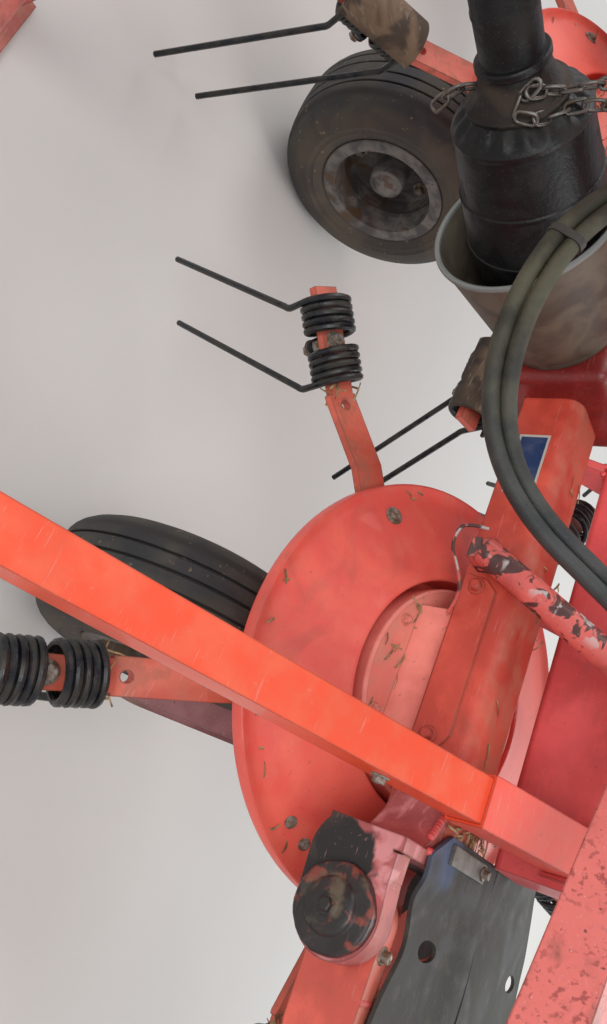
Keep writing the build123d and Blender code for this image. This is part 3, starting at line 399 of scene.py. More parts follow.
# The studio. A plain pale floor, a pale world, and large soft lamps above and in front.
bpy.context.scene.view_settings.view_transform = "Standard"
floor = added(bpy.ops.mesh.primitive_plane_add, size=40, location=(0, 0, 0))
floor.name = "floor"
pale = Finish("floor_paint")
pale.ground(pale.cloud(3), (0.60, 0.585, 0.55), (0.64, 0.625, 0.59))
floor.data.materials.append(pale.apply(0.9, pale.cloud(200), 0.0002))
world = bpy.data.worlds.new("room")
world.use_nodes = True
background = world.node_tree.nodes["Background"]
background.inputs["Color"].default_value = (0.80, 0.83, 0.88, 1)
background.inputs["Strength"].default_value = 0.75
bpy.context.scene.world = world
LAMPS_AIM = Vector((0.2, 0.0, 0.5))
for name, place, size, power in (
    ("lamp_front", (1.8, -3.2, 3.0), 2.4, 90),
    ("lamp_left", (-3.4, -1.6, 3.2), 2.6, 80),
    ("lamp_back", (0.8, 3.4, 3.4), 3.0, 90),
):
    lamp_data = bpy.data.lights.new(name, "AREA")
    lamp_data.size = size
    lamp_data.energy = power
    lamp = placed(name, lamp_data)
    lamp.location = place
    lamp.rotation_euler = (LAMPS_AIM - lamp.location).to_track_quat("-Z", "Y").to_euler()


# The frame's beams. Square and rectangular steel tube in red enamel that the sun has faded in
# patches; its edges are rubbed dark, its tops are dusty, and it is scratched and speckled.
UP = (0, 0, 1)


def enamel(
    name, light, deep, dust=0.5, worn=0.5, rust=0.3, gloss=0.40, grime=0.35, finish_on=None
):
    """Faded red paint, from its light and deep colours and how dusty, worn and so on it is."""
    paint = Finish(name, coat=0.12)
    patches = paint.cloud(6.5, 7, warp=0.6)
    mottle = paint.cloud(38, 7)
    fine = paint.cloud(240, 4)
    paint.ground(paint.step(patches + 0.25 * mottle, 0.48, 0.78), deep, light)
    paint.layer(paint.step(mottle, 0.50, 0.68) * 0.20, [min(1, c * 1.15) for c in light])
    if finish_on:
        finish_on(paint, mottle)
    scratch = paint.spots(0.64, 0.70, 30, 6, stretch=(1, 14, 14), turned=(0.3, 0.2, 0.5))
    cross = paint.spots(0.66, 0.72, 26, 5, stretch=(12, 1.5, 12), turned=(0.1, 0.7, 0.2))
    marks = scratch * 0.35 + cross * 0.25
    paint.layer(marks * worn, (0.75, 0.42, 0.36))
    specks = paint.spots(0.66, 0.72, 150, 3) * paint.step(patches, 0.35, 0.6)
    paint.layer(specks * grime, (0.055, 0.035, 0.025))
    smears = paint.spots(0.56, 0.74, 11, 8, warp=1.2)
    paint.layer(smears * grime * 0.8, (0.12, 0.065, 0.045))
    round_normal = paint.rounded(0.003)
    edge = paint.edges(round_normal)
    rubbed = paint.step(edge + 0.10 * mottle, 0.09, 0.16) * worn
    paint.layer(rubbed, (0.10, 0.045, 0.030))
    rusty = paint.step(mottle * 0.6 + patches * 0.5 + edge, 0.70, 0.80) * rust
    paint.layer(rusty, paint.mix(fine, (0.075, 0.025, 0.010), (0.20, 0.075, 0.028)))
    top = paint.step(paint.facing(UP), 0.25, 0.95)
    dusty = top * paint.step(mottle + 0.5 * patches, 0.52, 0.92) * dust
    paint.layer(dusty, (0.32, 0.235, 0.150))
    rough = gloss + 0.35 * dusty + 0.25 * rusty + 0.18 * mottle
    height = fine * 0.25 + marks * -0.5 - rubbed * 0.6 + dusty * 0.5
    return paint.apply(rough, height, 0.0006, round_normal)


def dress(finish, *names):
    for name in names:
        for place in nodes[name].material_slots:
            place.material = finish


drive_red = enamel("drive_beam_red", (0.70, 0.095, 0.055), (0.50, 0.052, 0.030), dust=0.4)
main_red = enamel("main_beam_red", (0.90, 0.130, 0.130), (0.64, 0.078, 0.078), dust=0.3)
gearbox_red = enamel(
    "gearbox_red", (0.28, 0.018, 0.014), (0.16, 0.010, 0.008), dust=0.45, grime=0.7
)
wing_red = enamel("wing_red", (0.88, 0.150, 0.100), (0.62, 0.095, 0.065), gloss=0.35)
dress(drive_red, "drive_beam")
dress(main_red, "main_beam", "tongue")
dress(gearbox_red, "gearbox")
dress(wing_red, "wing_beam_left", "wing_beam_right")

# The front drive beam's small things: the bolts of its access plates, and a thin blue plate with
# a pale border, bare of any words, stuck to its front face.
def inset(piece, way, *steps):
    """Insets the faces that face a way, once for each (thickness, depth) in metres."""
    for face in piece.data.polygons:
        face.select = face.normal.dot(Vector(way)) > 0.9
    tools = bpy.context.tool_settings
    tools.mesh_select_mode = (False, False, True)
    bpy.ops.object.mode_set(mode="EDIT")
    for thickness, depth in steps:
        bpy.ops.mesh.inset(thickness=thickness, depth=depth)
    bpy.ops.object.mode_set(mode="OBJECT")
    tools.mesh_select_mode = (True, False, False)


def hex_bolt(across_flats, thick=0.62):
    """A bolt's head on its washer, with its seat at the origin, in millimetres."""
    radius = across_flats / 2 / math.cos(math.pi / 6) / 1000
    height = thick * across_flats / 1000
    head = added(
        bpy.ops.mesh.primitive_cylinder_add,
        vertices=6, radius=radius, depth=height, location=(0, 0, height / 2 + 0.0015),
    )
    inset(head, UP, (radius * 0.16, radius * 0.10), (radius * 0.30, -radius * 0.05))
    washer_r = across_flats * 0.86
    ring = ((3, 0), (washer_r, 0), (washer_r + 0.2, 0.6), (washer_r - 0.4, 1.6), (3, 1.6))
    washer = turned("washer", ring, Vector((0, 0, 0)), UP, 20)
    return joined("hex_bolt", [head, washer])


def standing(point, toward, spin=0.0):
    """The place of a piece that stands on a point with its own Z along a direction."""
    lean = Vector(toward).to_track_quat("Z", "Y").to_matrix().to_4x4()
    return Matrix.Translation(point) @ lean @ Matrix.Rotation(spin, 4, "Z")


def copied(name, model, places, keep=False):
    """A model's copies at their places, as one piece."""
    made = []
    for place in places:
        mesh = model.data.copy()
        mesh.transform(place)
        made.append(placed(name, mesh))
    if not keep:
        bpy.data.objects.remove(model)
    return joined(name, made)


bolt_finish = two_tone(
    "bolt_steel", (0.40, 0.62, 120, 6), ((0.30, 0.28, 0.24), (0.17, 0.105, 0.060)), (0.45, 0.35),
    (600, 3), 0.0004, 0.0006, metallic=0.3,
)


def bolted(name, size, places, body, thick=0.62, finish=bolt_finish, slot="bare_steel"):
    """Bolts of one size at their places, as one piece on a body."""
    return fit(copied(name, hex_bolt(size, thick), places), body, finish, slot)


FRONT = (0, -1, 0)
PLATE_X, PLATE_Z = 187, 656
draw = random.Random(11)
plate_bolts = [
    standing(at(side * x, -33.1, z), FRONT, draw.random())
    for side in SIDES.values()
    for x, z in ((363, 646), (545, 646))
]
bolted("access_plate_bolts", 12, plate_bolts, "frame", finish=drive_red, slot="faded_red")
plate = added(
    bpy.ops.mesh.primitive_cube_add,
    (0.086, 0.0013, 0.040), size=1, location=at(PLATE_X, -30.6, PLATE_Z),
)
inset(plate, FRONT, (0.003, -0.0003))
plate.name = "bare_plate"
blue = Finish("plate_blue", metallic=0.2)
faded = blue.spots(0.40, 0.66, 40, 6)
blue.ground(faded * 0.25, (0.014, 0.040, 0.130), (0.20, 0.24, 0.32))
beside = blue.maths("ABSOLUTE", blue.along((1, 0, 0)) - PLATE_X / 1000)
above = blue.maths("ABSOLUTE", blue.along(UP) - PLATE_Z / 1000)
border = blue.maths(
    "MAXIMUM", blue.step(beside, 0.0396, 0.0402), blue.step(above, 0.0168, 0.0174)
)
blue.layer(border, (0.52, 0.50, 0.44))
plate_finish = blue.apply(0.35 + 0.3 * faded, blue.cloud(400), 0.0002)
fit(plate, "frame", plate_finish, "bare_steel")


# The guard bars. Newer square tube in bright orange-red, pushed into faded sockets that the main
# beam holds in its windows. A pinch bolt goes through the bar's outer side.
def socket_tone(paint, mottle):
    """A fainter red from where the bar goes into its socket."""
    inside = paint.step(paint.along((0, 0.91845, 0.39555)), 0.3192, 0.3202)
    paint.layer(inside, paint.mix(mottle, (0.84, 0.085, 0.055), (0.98, 0.118, 0.075)))


bar_red = enamel(
    "bar_red", (0.99, 0.110, 0.038), (0.86, 0.085, 0.029), dust=0.15, worn=0.55, rust=0.1,
    gloss=0.26, grime=0.12, finish_on=socket_tone,
)
dress(bar_red, "guard_bars")
bar_bolts = [
    standing(at(side * 622.6, y, 755 + 0.4307 * y), (side, 0, 0), 0.4)
    for side in SIDES.values()
    for y in (-173, -640)
]
bolted("guard_bar_bolts", 11, bar_bolts, "frame", thick=0.45)


# The guard arms, their round braces, the front rail and the end bows. Old red tube with rubbed
# edges; the braces are flattened at their ends and scuffed, with wire twisted round them.
def scuffed(paint, mottle):
    """Black and bare bright patches along the braces' tops."""
    above = paint.step(paint.facing(UP), -0.1, 0.5)
    black = paint.step(paint.cloud(38, 8, warp=1.0) + 0.07 * above, 0.53, 0.57)
    paint.layer(black * 0.92, (0.026, 0.021, 0.020))
    bright = paint.spots(0.57, 0.62, 30, 9, warp=1.4) * above
    paint.layer(bright * 0.85, (0.62, 0.58, 0.55))


def pitted(paint, mottle):
    """Dark pits and a few pale ones all over the old enamel."""
    pits = paint.spots(0.53, 0.64, 170, 6) * paint.spots(0.36, 0.58, 13, 5)
    paint.layer(pits * 0.65, (0.22, 0.032, 0.032))
    paint.layer(paint.spots(0.70, 0.73, 210, 3) * 0.6, (0.80, 0.52, 0.48))


def as_mesh(line):
    choose(line)
    bpy.ops.object.convert(target="MESH")
    return bpy.context.object


arm_red = enamel(
    "guard_arm_red", (0.74, 0.180, 0.155), (0.46, 0.078, 0.062), dust=0.2, worn=0.75, grime=0.8,
    finish_on=pitted,
)
dress(arm_red, "guard_arms", "guard_rail", "guard_bow_left", "guard_bow_right")
brace_red = enamel(
    "brace_red", (0.80, 0.150, 0.125), (0.52, 0.085, 0.070), dust=0.2, worn=1.0, rust=0.4,
    grime=0.6, finish_on=scuffed,
)
dress(brace_red, "guard_braces")
TWIST = (
    (300, -60, 650), (304, -78, 630), (318, -80, 622), (338, -78, 622), (356, -74, 632),
    (376, -62, 640), (392, -48, 634), (404, -38, 624),
)
wires = []
for side in SIDES.values():
    tie = curve("tie", [at(side * x, y, z) for x, y, z in TWIST])
    thicken(tie, 2.2, 2)
    wires.append(as_mesh(tie))
fit(joined("brace_wires", wires), "frame", brace_red, "faded_red")


# The rotor dishes. Pressed steel with a rolled rim round a pot that the gear drum stands in, in
# orange-red enamel that has gone pink and dusty. The arms are bolted up through them.
def rotor_frame(x):
    """A rotor's own frame, with its Z along the tilted shaft."""
    return Matrix.Translation(at(x, 80, 563)) @ Matrix.Rotation(math.radians(19), 4, "X")


def on_rotor(degrees, radius, height, lean=0.0, spin=0.0):
    """A place in a rotor's own frame, in metres, that stands up or leans outward."""
    angle = math.radians(degrees)
    out = Vector((math.cos(angle), math.sin(angle), 0))
    return standing(out * radius + Vector((0, 0, height)), out * lean + Vector(UP), spin)


DISH = (
    (146, 40.6), (147.2, 42), (149.8, 42), (152.4, 40.4), (170, 33.2), (200, 21.0), (230, 8.8),
    (243, 3.5), (249, 1.2), (254, 0.2), (259, 0.5), (264, 2.0), (267.5, 3.6), (269.6, 4.1),
    (271.0, 3.2), (271.5, 1.0), (271.5, -13), (270.8, -15.6), (269.2, -16.4), (267.6, -15.6),
    (267.0, -13), (266.8, -2.0), (262, -2.8), (252, -4.0), (151, 33.0), (151, -22), (48, -22),
    (48, -60), (25.1, -60), (25.1, -16), (146, -16), (146, 40.6),
)
ROTORS = {
    "outer_left": (-1431, -68.5),
    "inner_left": (-477, -75.5),
    "inner_right": (477, -68.5),
    "outer_right": (1431, -75.5),
}
dish_red = enamel(
    "dish_red", (0.97, 0.140, 0.098), (0.80, 0.100, 0.075), dust=0.14, worn=0.35, grime=0.22,
    gloss=0.34,
)
DISH_LEAN = 0.38  # how the dish's slope leans its bolts outward
ARMS, ARM_STEP = 5, 72  # on each rotor, and the angle from one to the next
for name, (x, phase) in ROTORS.items():
    dish = turned(f"dish_{name}", DISH, Vector((0, 0, 0)), UP, 144)
    dish.data.transform(rotor_frame(x))
    fit(dish, f"rotor_{name}", dish_red, "dish_red", f"rotor_dish_{name}")
    large = []
    for index in range(ARMS):
        large.append(on_rotor(phase + ARM_STEP * index, 0.232, 0.0085, DISH_LEAN, index))
        large.append(on_rotor(phase + ARM_STEP * index, 0.112, -0.0160, spin=index))
    small = [
        on_rotor(angle, 0.239, 0.0055, DISH_LEAN, angle) for angle in (phase + 37.0, phase + 44.8)
    ]
    bolts = [
        copied("bolts", hex_bolt(size, 0.28), [rotor_frame(x) @ place for place in places])
        for size, places in ((14, large), (8.5, small))
    ]
    fit(joined(f"dish_bolts_{name}", bolts), f"rotor_{name}", bolt_finish, "bare_steel")

# The gear drums that the rotors hang from. Castings in dull red, pinkish with dry dust on top.
drum_red = enamel(
    "drum_red", (0.95, 0.290, 0.230), (0.74, 0.190, 0.150), dust=0.35, grime=0.4, gloss=0.5
)
dress(drum_red, "gear_drums_inner", "gear_drum_outer_left", "gear_drum_outer_right")
drum_places = {"frame": [], "wing_left": [], "wing_right": []}
for name, (x, _) in ROTORS.items():
    body = name.replace("outer", "wing") if "outer" in name else "frame"
    for angle in (-160, -118, -62, -20, 20, 62, 118, 160):
        drum_places[body].append(rotor_frame(x) @ on_rotor(angle, 0.120, 0.048, spin=angle))
for body, places in drum_places.items():
    bolted(f"drum_bolts_{body}", 9, places, body, finish=drum_red, slot="drum_paint")


# The tine arms. Flat bar, five to a rotor, bent down towards the coils. Their red is worn to
# brown primer by the crop, in patches.
def arm_brown(paint, mottle):
    paint.layer(paint.step(mottle, 0.46, 0.62) * 0.5, (0.32, 0.070, 0.038))


tine_arm_red = enamel(
    "tine_arm_red", (0.80, 0.165, 0.105), (0.52, 0.080, 0.045), dust=0.2, worn=0.8, rust=0.5,
    grime=0.5, finish_on=arm_brown,
)
dress(tine_arm_red, *(f"tine_arms_{name}" for name in ROTORS))


# The tines. Each is one spring steel wire, wound in two coils round its arm, with a leg from each
# and a loop between them that a clamp and a bolt hold under the arm.
def spring_steel():
    steel = Finish("spring_steel", metallic=0.35)
    dull = steel.spots(0.38, 0.66, 55, 6)
    steel.ground(dull, (0.012, 0.015, 0.019), (0.040, 0.038, 0.032))
    dirt = steel.step(steel.facing(UP), 0.3, 0.9) * steel.spots(0.42, 0.62, 30, 5)
    steel.layer(dirt * 0.18, (0.11, 0.090, 0.060))
    return steel.apply(0.26 + 0.25 * dull, steel.cloud(420, 4), 0.0005)


WIRE_R = 4.7
COIL_PITCH = 9.42
COIL_R = 30.25
COIL_Z = -57.0
COIL_TURNS, COIL_STEPS = 4.75, 22


def coil(start, pitch):
    """The wire's middle along one coil, from its leg round to the loop below the arm."""
    points = []
    for index in range(1, round(COIL_TURNS * COIL_STEPS) + 1):
        angle = math.tau * index / COIL_STEPS
        across, up = COIL_R * math.cos(angle), COIL_Z + COIL_R * math.sin(angle)
        points.append((start + pitch * index / COIL_STEPS, across, up))
    return points


def leg(start, length):
    """A leg from its tip up to the coil, with a small bend at the kink."""
    lean, drop = math.sin(math.radians(30)), math.cos(math.radians(30))
    kink = COIL_Z - 38
    return [
        (start + lean * length, COIL_R, kink - drop * length),
        (start + lean * 9, COIL_R, kink - drop * 9),
        (start + lean * 3.4, COIL_R, kink - drop * 4.2),
        (start + 0.3, COIL_R, kink + 1.2),
        (start, COIL_R, kink + 7),
        (start, COIL_R, COIL_Z),
    ]


LOOP = (
    (462.2, 7, -87.6), (464.6, 11.4, -87.8), (468, 13.2, -87.8), (471.4, 11.4, -87.8),
    (473.8, 7, -87.6),
)
wire_points = (
    leg(413.9, 322) + coil(413.9, COIL_PITCH) + list(LOOP)
    + coil(522.1, -COIL_PITCH)[::-1] + leg(522.1, 292)[::-1]
)
spring_finish = spring_steel()
tine = curve("tine", [Vector(place) / 1000 for place in wire_points], "POLY")
thicken(tine, WIRE_R, 2)
tine.data.use_fill_caps = True
tine = as_mesh(tine)
soften(40)
CLAMP_X = 0.468
clamp = added(
    bpy.ops.mesh.primitive_cube_add,
    (0.014, 0.022, 0.033), size=1, location=(CLAMP_X, 0, -0.0815),
)
edit((bpy.ops.mesh.bevel, {"offset": 0.0035, "segments": 3}))
soften()
clamp_bolts = [
    standing(Vector((CLAMP_X, 0, -0.0975)), (0, 0, -1), 0.5),
    standing(Vector((CLAMP_X, 0, -0.051)), UP, 0.2),
]
clamp = joined("clamp", [clamp, copied("clamp_bolts", hex_bolt(15), clamp_bolts)])


def arm_frames(x, phase):
    """The five arms' own frames on one rotor, each with its X out along the arm."""
    angles = [math.radians(phase + ARM_STEP * index) for index in range(ARMS)]
    return [rotor_frame(x) @ Matrix.Rotation(angle, 4, "Z") for angle in angles]


for name, (x, phase) in ROTORS.items():
    wires = copied(f"tine_wires_{name}", tine, arm_frames(x, phase), keep=True)
    fit(wires, f"rotor_{name}", spring_finish, "tine_steel", f"tines_{name}")
    clamps = copied(f"tine_clamps_{name}", clamp, arm_frames(x, phase), keep=True)
    fit(clamps, f"rotor_{name}", bolt_finish, "bare_steel")
bpy.data.objects.remove(tine)
bpy.data.objects.remove(clamp)


# The saddles over the coils. Half shells of pressed steel, their paint gone, brown with dust, and
# darkened underneath as painted shade.
def saddle_steel():
    steel = Finish("saddle_steel", metallic=0.1)
    blotches = steel.spots(0.38, 0.62, 22, 7, warp=0.8)
    steel.ground(blotches, (0.075, 0.055, 0.038), (0.22, 0.155, 0.095))
    # Painted shade: faces that point down are darkened almost to black.
    lower = steel.step(steel.facing(UP), 0.5, -0.2)
    steel.layer(lower * 0.8, (0.020, 0.016, 0.014))
    steel.layer(steel.spots(0.58, 0.70, 40, 5, stretch=(1, 1, 6)) * 0.5, (0.33, 0.27, 0.19))
    return steel.apply(0.78, steel.cloud(300, 5), 0.0006, steel.rounded(0.0015))


SADDLED = "inner_left", "outer_left", "outer_right"
dress(saddle_steel(), *(f"tine_saddles_{name}" for name in SADDLED))


# The tyres. Low, wide implement tyres with plain ribs round the tread; the rubber is grey with
# dust, browner on its walls, with specks of dry earth, and painted shade in its grooves.
HUB_Z = 202.5  # the wheels' axles above the ground, in millimetres


def tyre_rubber():
    rubber = Finish("tyre_rubber")
    blotches = rubber.spots(0.36, 0.64, 14, 7, warp=0.5)
    rubber.ground(blotches, (0.022, 0.023, 0.025), (0.066, 0.062, 0.050))
    upright = rubber.vectors("MULTIPLY", rubber.place, (0, 1, 1), "Vector")
    from_hub = rubber.vectors("DISTANCE", upright, (0, AXLE / 1000, HUB_Z / 1000))
    brown = rubber.mix(blotches, (0.058, 0.045, 0.035), (0.105, 0.078, 0.056))
    rubber.layer(rubber.step(from_hub, 0.185, 0.165) * 0.65, brown)
    # Painted shade: a near-black band in the grooves between the tread's ribs.
    groove_painted_shade = rubber.step(from_hub, 0.2005, 0.1975) * rubber.step(from_hub, 0.190, 0.196)
    rubber.layer(groove_painted_shade * 0.7, (0.016, 0.014, 0.012))
    rubber.layer(rubber.spots(0.66, 0.71, 85, 4) * 0.55, (0.27, 0.20, 0.12))
    height = rubber.cloud(160, 6) + 0.6 * rubber.cloud(700, 2)
    return rubber.apply(0.62 + 0.25 * blotches, height, 0.0008)


TYRE_HALF_SECTION = (
    (202.5, 0), (202.4, 9.2), (201.6, 10.0), (197.4, 10.2), (197.2, 13.6), (201.4, 13.8),
    (202.2, 14.6), (201.3, 31.0), (200.5, 31.8), (196.3, 32.0), (196.0, 35.4), (199.8, 35.6),
    (200.7, 36.4), (199.4, 47), (196.6, 54), (191.0, 62), (182, 70), (170, 76.6), (158, 80.8),
    (149, 82.4), (146.4, 83.4), (144.6, 82.2), (136, 80.6), (134.0, 81.4), (131.8, 80.0),
    (126, 77.8), (121, 75.6), (118, 74.6), (115.6, 72.2), (115.3, 70.5), (101.5, 70.4),
)
tyre_section = [(radius, -across) for radius, across in TYRE_HALF_SECTION[:0:-1]]
tyre_section += [*TYRE_HALF_SECTION, tyre_section[0]]
tyre_finish = tyre_rubber()
for name, (x, _) in ROTORS.items():
    tyre = turned(f"ribbed_tyre_{name}", tyre_section, at(x, 0, HUB_Z), (1, 0, 0), 120)
    fit(tyre, f"wheel_{name}", tyre_finish, "tyre", f"tyre_{name}")


# The wheel rims. Two pressed halves with a deep dish and a hub through the middle, once silver,
# now grey with dust outside and rusty in the bottom of the dish.
def rim_grey():
    paint = Finish("rim_grey", metallic=0.15)
    mottle = paint.cloud(30, 7, warp=0.5)
    paint.ground(paint.step(mottle, 0.38, 0.62), (0.075, 0.070, 0.067), (0.185, 0.172, 0.155))
    low = paint.step(paint.along(UP) + 0.05 * mottle, 0.190, 0.140)
    stain = paint.spots(0.42, 0.60, 19, 6, warp=1.0)
    paint.layer(low * stain * 0.85, (0.105, 0.055, 0.022))
    paint.layer(paint.step(mottle, 0.58, 0.68) * 0.7, (0.090, 0.038, 0.018))
    round_normal = paint.rounded(0.0015)
    paint.layer(paint.step(paint.edges(round_normal), 0.05, 0.14) * 0.5, (0.25, 0.23, 0.20))
    height = mottle * 0.7 + 0.3 * paint.cloud(300)
    return paint.apply(0.55 + 0.3 * mottle, height, 0.0007, round_normal)


RIM = (
    (93, 76), (110, 77.2), (113.5, 77.0), (115.4, 75.2), (115.2, 72.6), (112.6, 71.4),
    (101.2, 71.2), (101.2, -71.2), (112.6, -71.4), (115.2, -72.6), (115.4, -75.2), (113.5, -77.0),
    (110, -77.2), (93, -76), (92.2, -70), (92.2, -34), (90.6, -29), (92.2, -24), (92.2, 0),
    (90.5, 5.5), (85, 8.0), (62, 8.0), (52, 4.5), (43, 2.0), (37, -3), (33.5, -10), (32.2, -49),
    (30, -52), (24, -53), (17, -62), (14.5, -63.5), (0, -64), (0, 52), (28, 52), (32, 50), (33, 24),
    (38, 17), (45, 13), (60, 15), (85, 15), (90.5, 17), (92.2, 22), (92.2, 70), (93, 76),
)
rim_finish = rim_grey()
for name, (x, _) in ROTORS.items():
    facing = 1 if x > 0 else -1
    rim = turned(f"rim_pressing_{name}", RIM, at(x, 0, HUB_Z), (facing, 0, 0), 72)
    fit(rim, f"wheel_{name}", rim_finish, "rim_paint", f"rim_{name}")
    places = []
    for index in range(5):
        angle = math.tau * index / 5 + 0.35
        y, z = 70 * math.cos(angle), HUB_Z + 70 * math.sin(angle)
        for distance, way in ((8.0, -1), (15.0, 1)):
            point = at(x + facing * distance, y, z)
            places.append(standing(point, (facing * way, 0, 0), index))
    bolted(f"rim_nuts_{name}", 15, places, f"wheel_{name}")

# The wheel legs. Flanged plates in faded pinkish red with grey, bare of paint round the axle.
leg_red = enamel(
    "leg_red", (0.36, 0.150, 0.160), (0.23, 0.080, 0.085), dust=0.6, worn=0.8, rust=0.6,
    grime=0.6, gloss=0.5,
)
dress(leg_red, "wheel_legs_inner", "wheel_leg_outer_left", "wheel_leg_outer_right")
NUT_OUT = 108.4  # from a wheel's middle along its axle
for body, places in (
    ("frame", ((-477, -1), (477, 1))),
    ("wing_left", ((-1431, -1),)),
    ("wing_right", ((1431, 1),)),
):
    nuts = [standing(at(x + side * NUT_OUT, 0, HUB_Z), (side, 0, 0), 0.5) for x, side in places]
    bolted(f"axle_nuts_{body}", 24, nuts, body)


# The drive shaft's guards. Black plastic: a bell that goes into the gearbox's bowl, wrinkled
# where it narrows to the tube, a clamping collar, and the front tube with its own bell.
shaft_joint = at(0, -150, 662.5)
shaft_way = Vector((0, -math.cos(math.radians(8)), math.sin(math.radians(8))))


def black_plastic():
    plastic = Finish("guard_plastic")
    plastic.shader.inputs["Specular IOR Level"].default_value = 0.25
    dusty = plastic.spots(0.42, 0.68, 24, 7, warp=0.7)
    top = plastic.step(plastic.facing(UP), -0.1, 0.9)
    dust = dusty * (0.10 + 0.30 * top)
    plastic.ground(dust, (0.0055, 0.0062, 0.0068), (0.060, 0.056, 0.046))
    from_joint = plastic.along(tuple(shaft_way)) - shaft_way.dot(shaft_joint)
    neck = plastic.step(from_joint, 0.254, 0.258) * plastic.step(from_joint, 0.294, 0.290)
    brown = plastic.mix(dusty, (0.014, 0.010, 0.008), (0.066, 0.046, 0.032))
    plastic.layer(neck * 0.6, brown)
    scratch = plastic.spots(0.63, 0.69, 50, 5, stretch=(1, 9, 9))
    plastic.layer(scratch * 0.2, (0.15, 0.145, 0.13))
    return plastic.apply(0.40 + 0.35 * dusty, plastic.cloud(200, 5), 0.0006)


REAR_GUARD = (
    (74, 55), (77.2, 55), (78, 56.5), (78, 92), (79.4, 93), (79.4, 97), (78, 98), (76.6, 140),
    (75.0, 157), (76.4, 158.6), (76.4, 162), (74.6, 163.6), (71.5, 200), (69.0, 228), (70.4, 230),
    (70.4, 235), (68.8, 237), (66.5, 239), (63.0, 242), (58.6, 246), (54.2, 250), (51, 253),
    (51.6, 255), (51.6, 257.6), (49.5, 259.2), (45.5, 261), (41.0, 267), (37.4, 275), (34.2, 286),
    (32.6, 288.4), (27.5, 289), (27.5, 490), (24, 490), (24, 214), (21.2, 212), (21.2, 198),
    (48, 198), (70.5, 172), (74, 150), (74, 55),
)
FRONT_GUARD = (
    (28.2, 289.4), (35.0, 289.4), (36.4, 291), (36.4, 296.6), (35.0, 298.2), (31.4, 299),
    (30.6, 301), (30.6, 340), (31.5, 342), (31.5, 346), (30.6, 348), (30.6, 684), (40, 692),
    (50, 704), (60, 718), (62, 726), (62, 762), (61, 765), (58, 765), (58, 722), (36, 694),
    (28.2, 686), (28.2, 289.4),
)
PLEATS = 18
PLEATED = (238.0, 254.0)
PLEAT_HEIGHT = 0.0036
plastic_finish = black_plastic()
guards = [
    turned("guard", section, shaft_joint, shaft_way, 108) for section in (REAR_GUARD, FRONT_GUARD)
]
for vertex in guards[0].data.vertices:
    distance = (vertex.co - shaft_joint).dot(shaft_way)
    out = vertex.co - shaft_joint - shaft_way * distance
    share = (distance * 1000 - PLEATED[0]) / (PLEATED[1] - PLEATED[0])
    if 0 < share < 1 and out.length > 0.04:
        ripple = math.cos(PLEATS * math.atan2(out.z, out.x)) * math.sin(math.pi * share)
        vertex.co += out.normalized() * PLEAT_HEIGHT * ripple
fit(joined("plastic_guards", guards), "frame", plastic_finish, "shaft_plastic", "shaft_guards")


# The bowl round the shaft's joint. Grey-brown plastic screwed to the gearbox, with a painted
# highlight along its rim.
def bowl_plastic():
    plastic = Finish("bowl_plastic")
    dusty = plastic.spots(0.36, 0.64, 20, 7, warp=0.8)
    plastic.ground(dusty, (0.062, 0.050, 0.034), (0.125, 0.102, 0.068))
    # Painted highlight: a pale grey band along the bowl's rim.
    rim = plastic.step(plastic.along((0, 1, 0)), -0.1425, -0.1450)
    plastic.layer(rim * 0.9, (0.21, 0.23, 0.22))
    return plastic.apply(0.62, plastic.cloud(240, 5), 0.0005)


BOWL = (
    (57, 0.3), (72, 0.3), (73, 2), (73, 9), (75.4, 12), (84, 60), (95, 120), (104.4, 171),
    (107.4, 173.4), (108.6, 177), (107.6, 180.4), (105, 181.6), (102.4, 180), (101.8, 176),
    (80, 58), (70.4, 12), (68, 10), (57, 10), (57, 0.3),
)
bowl = turned("bowl_moulding", BOWL, at(0, -70, 662.5), FRONT, 72)
fit(bowl, "frame", bowl_plastic(), "shaft_plastic", "shaft_bowl")


# The drive shaft inside, with its joint and the tractor's yoke. Worn, greasy steel.
shaft_finish = two_tone(
    "shaft_steel", (0.36, 0.60, 34, 6), ((0.2, 0.19, 0.172), (0.035, 0.028, 0.022)), (0.35, 0.3),
    (260, 4), 0.0004, 0.0015, metallic=0.8,
)
dress(shaft_finish, "drive_shaft")


# The guard chain. Round links from the tongue down to the shaft guard's collar, with a slack
# strand beside it and the loose end that hangs below the guard.
def chain_link():
    made = added(
        bpy.ops.mesh.primitive_torus_add,
        major_radius=0.0056, minor_radius=0.0019, major_segments=16, minor_segments=6,
        rotation=(0, math.pi / 2, 0),
    )
    for vertex in made.data.vertices:
        vertex.co.z += math.copysign(0.0052, vertex.co.z) if abs(vertex.co.z) > 0.0003 else 0
    bpy.ops.object.shade_smooth()
    return made


CHAIN_RUNS = (
    (
        (0, -383, 846), (6, -394, 812), (14, -404, 786), (20, -410, 768), (20, -409, 749),
        (20, -413, 735), (34, -423, 724),
    ),
    (
        (4, -372, 848), (14, -378, 806), (20, -387, 780), (20, -392, 758), (26, -390, 738),
        (48, -404, 727), (47, -410, 714), (38, -413, 710), (34, -422, 719), (24, -430, 738),
    ),
    ((8, -424, 667), (14, -431, 656), (18, -430, 644), (20, -425, 632), (21, -420, 622)),
)
LINK_PITCH = 0.0172
links = []
for run in CHAIN_RUNS:
    guide = curve("chain_line", [at(*place) for place in run])
    strand = course(guide)
    bpy.data.objects.remove(guide)
    travelled, wanted, index = 0.0, 0.009, 0
    for before, after in zip(strand, strand[1:]):
        step = (after - before).length
        while travelled + step >= wanted:
            point = before.lerp(after, (wanted - travelled) / step)
            links.append(standing(point, after - before, math.pi / 2 * index + 0.2))
            wanted += LINK_PITCH
            index += 1
        travelled += step
chain_finish = zinc("chain_zinc", 0.16)
fit(copied("link_chain", chain_link(), links), "frame", chain_finish, "bare_steel", "guard_chain")
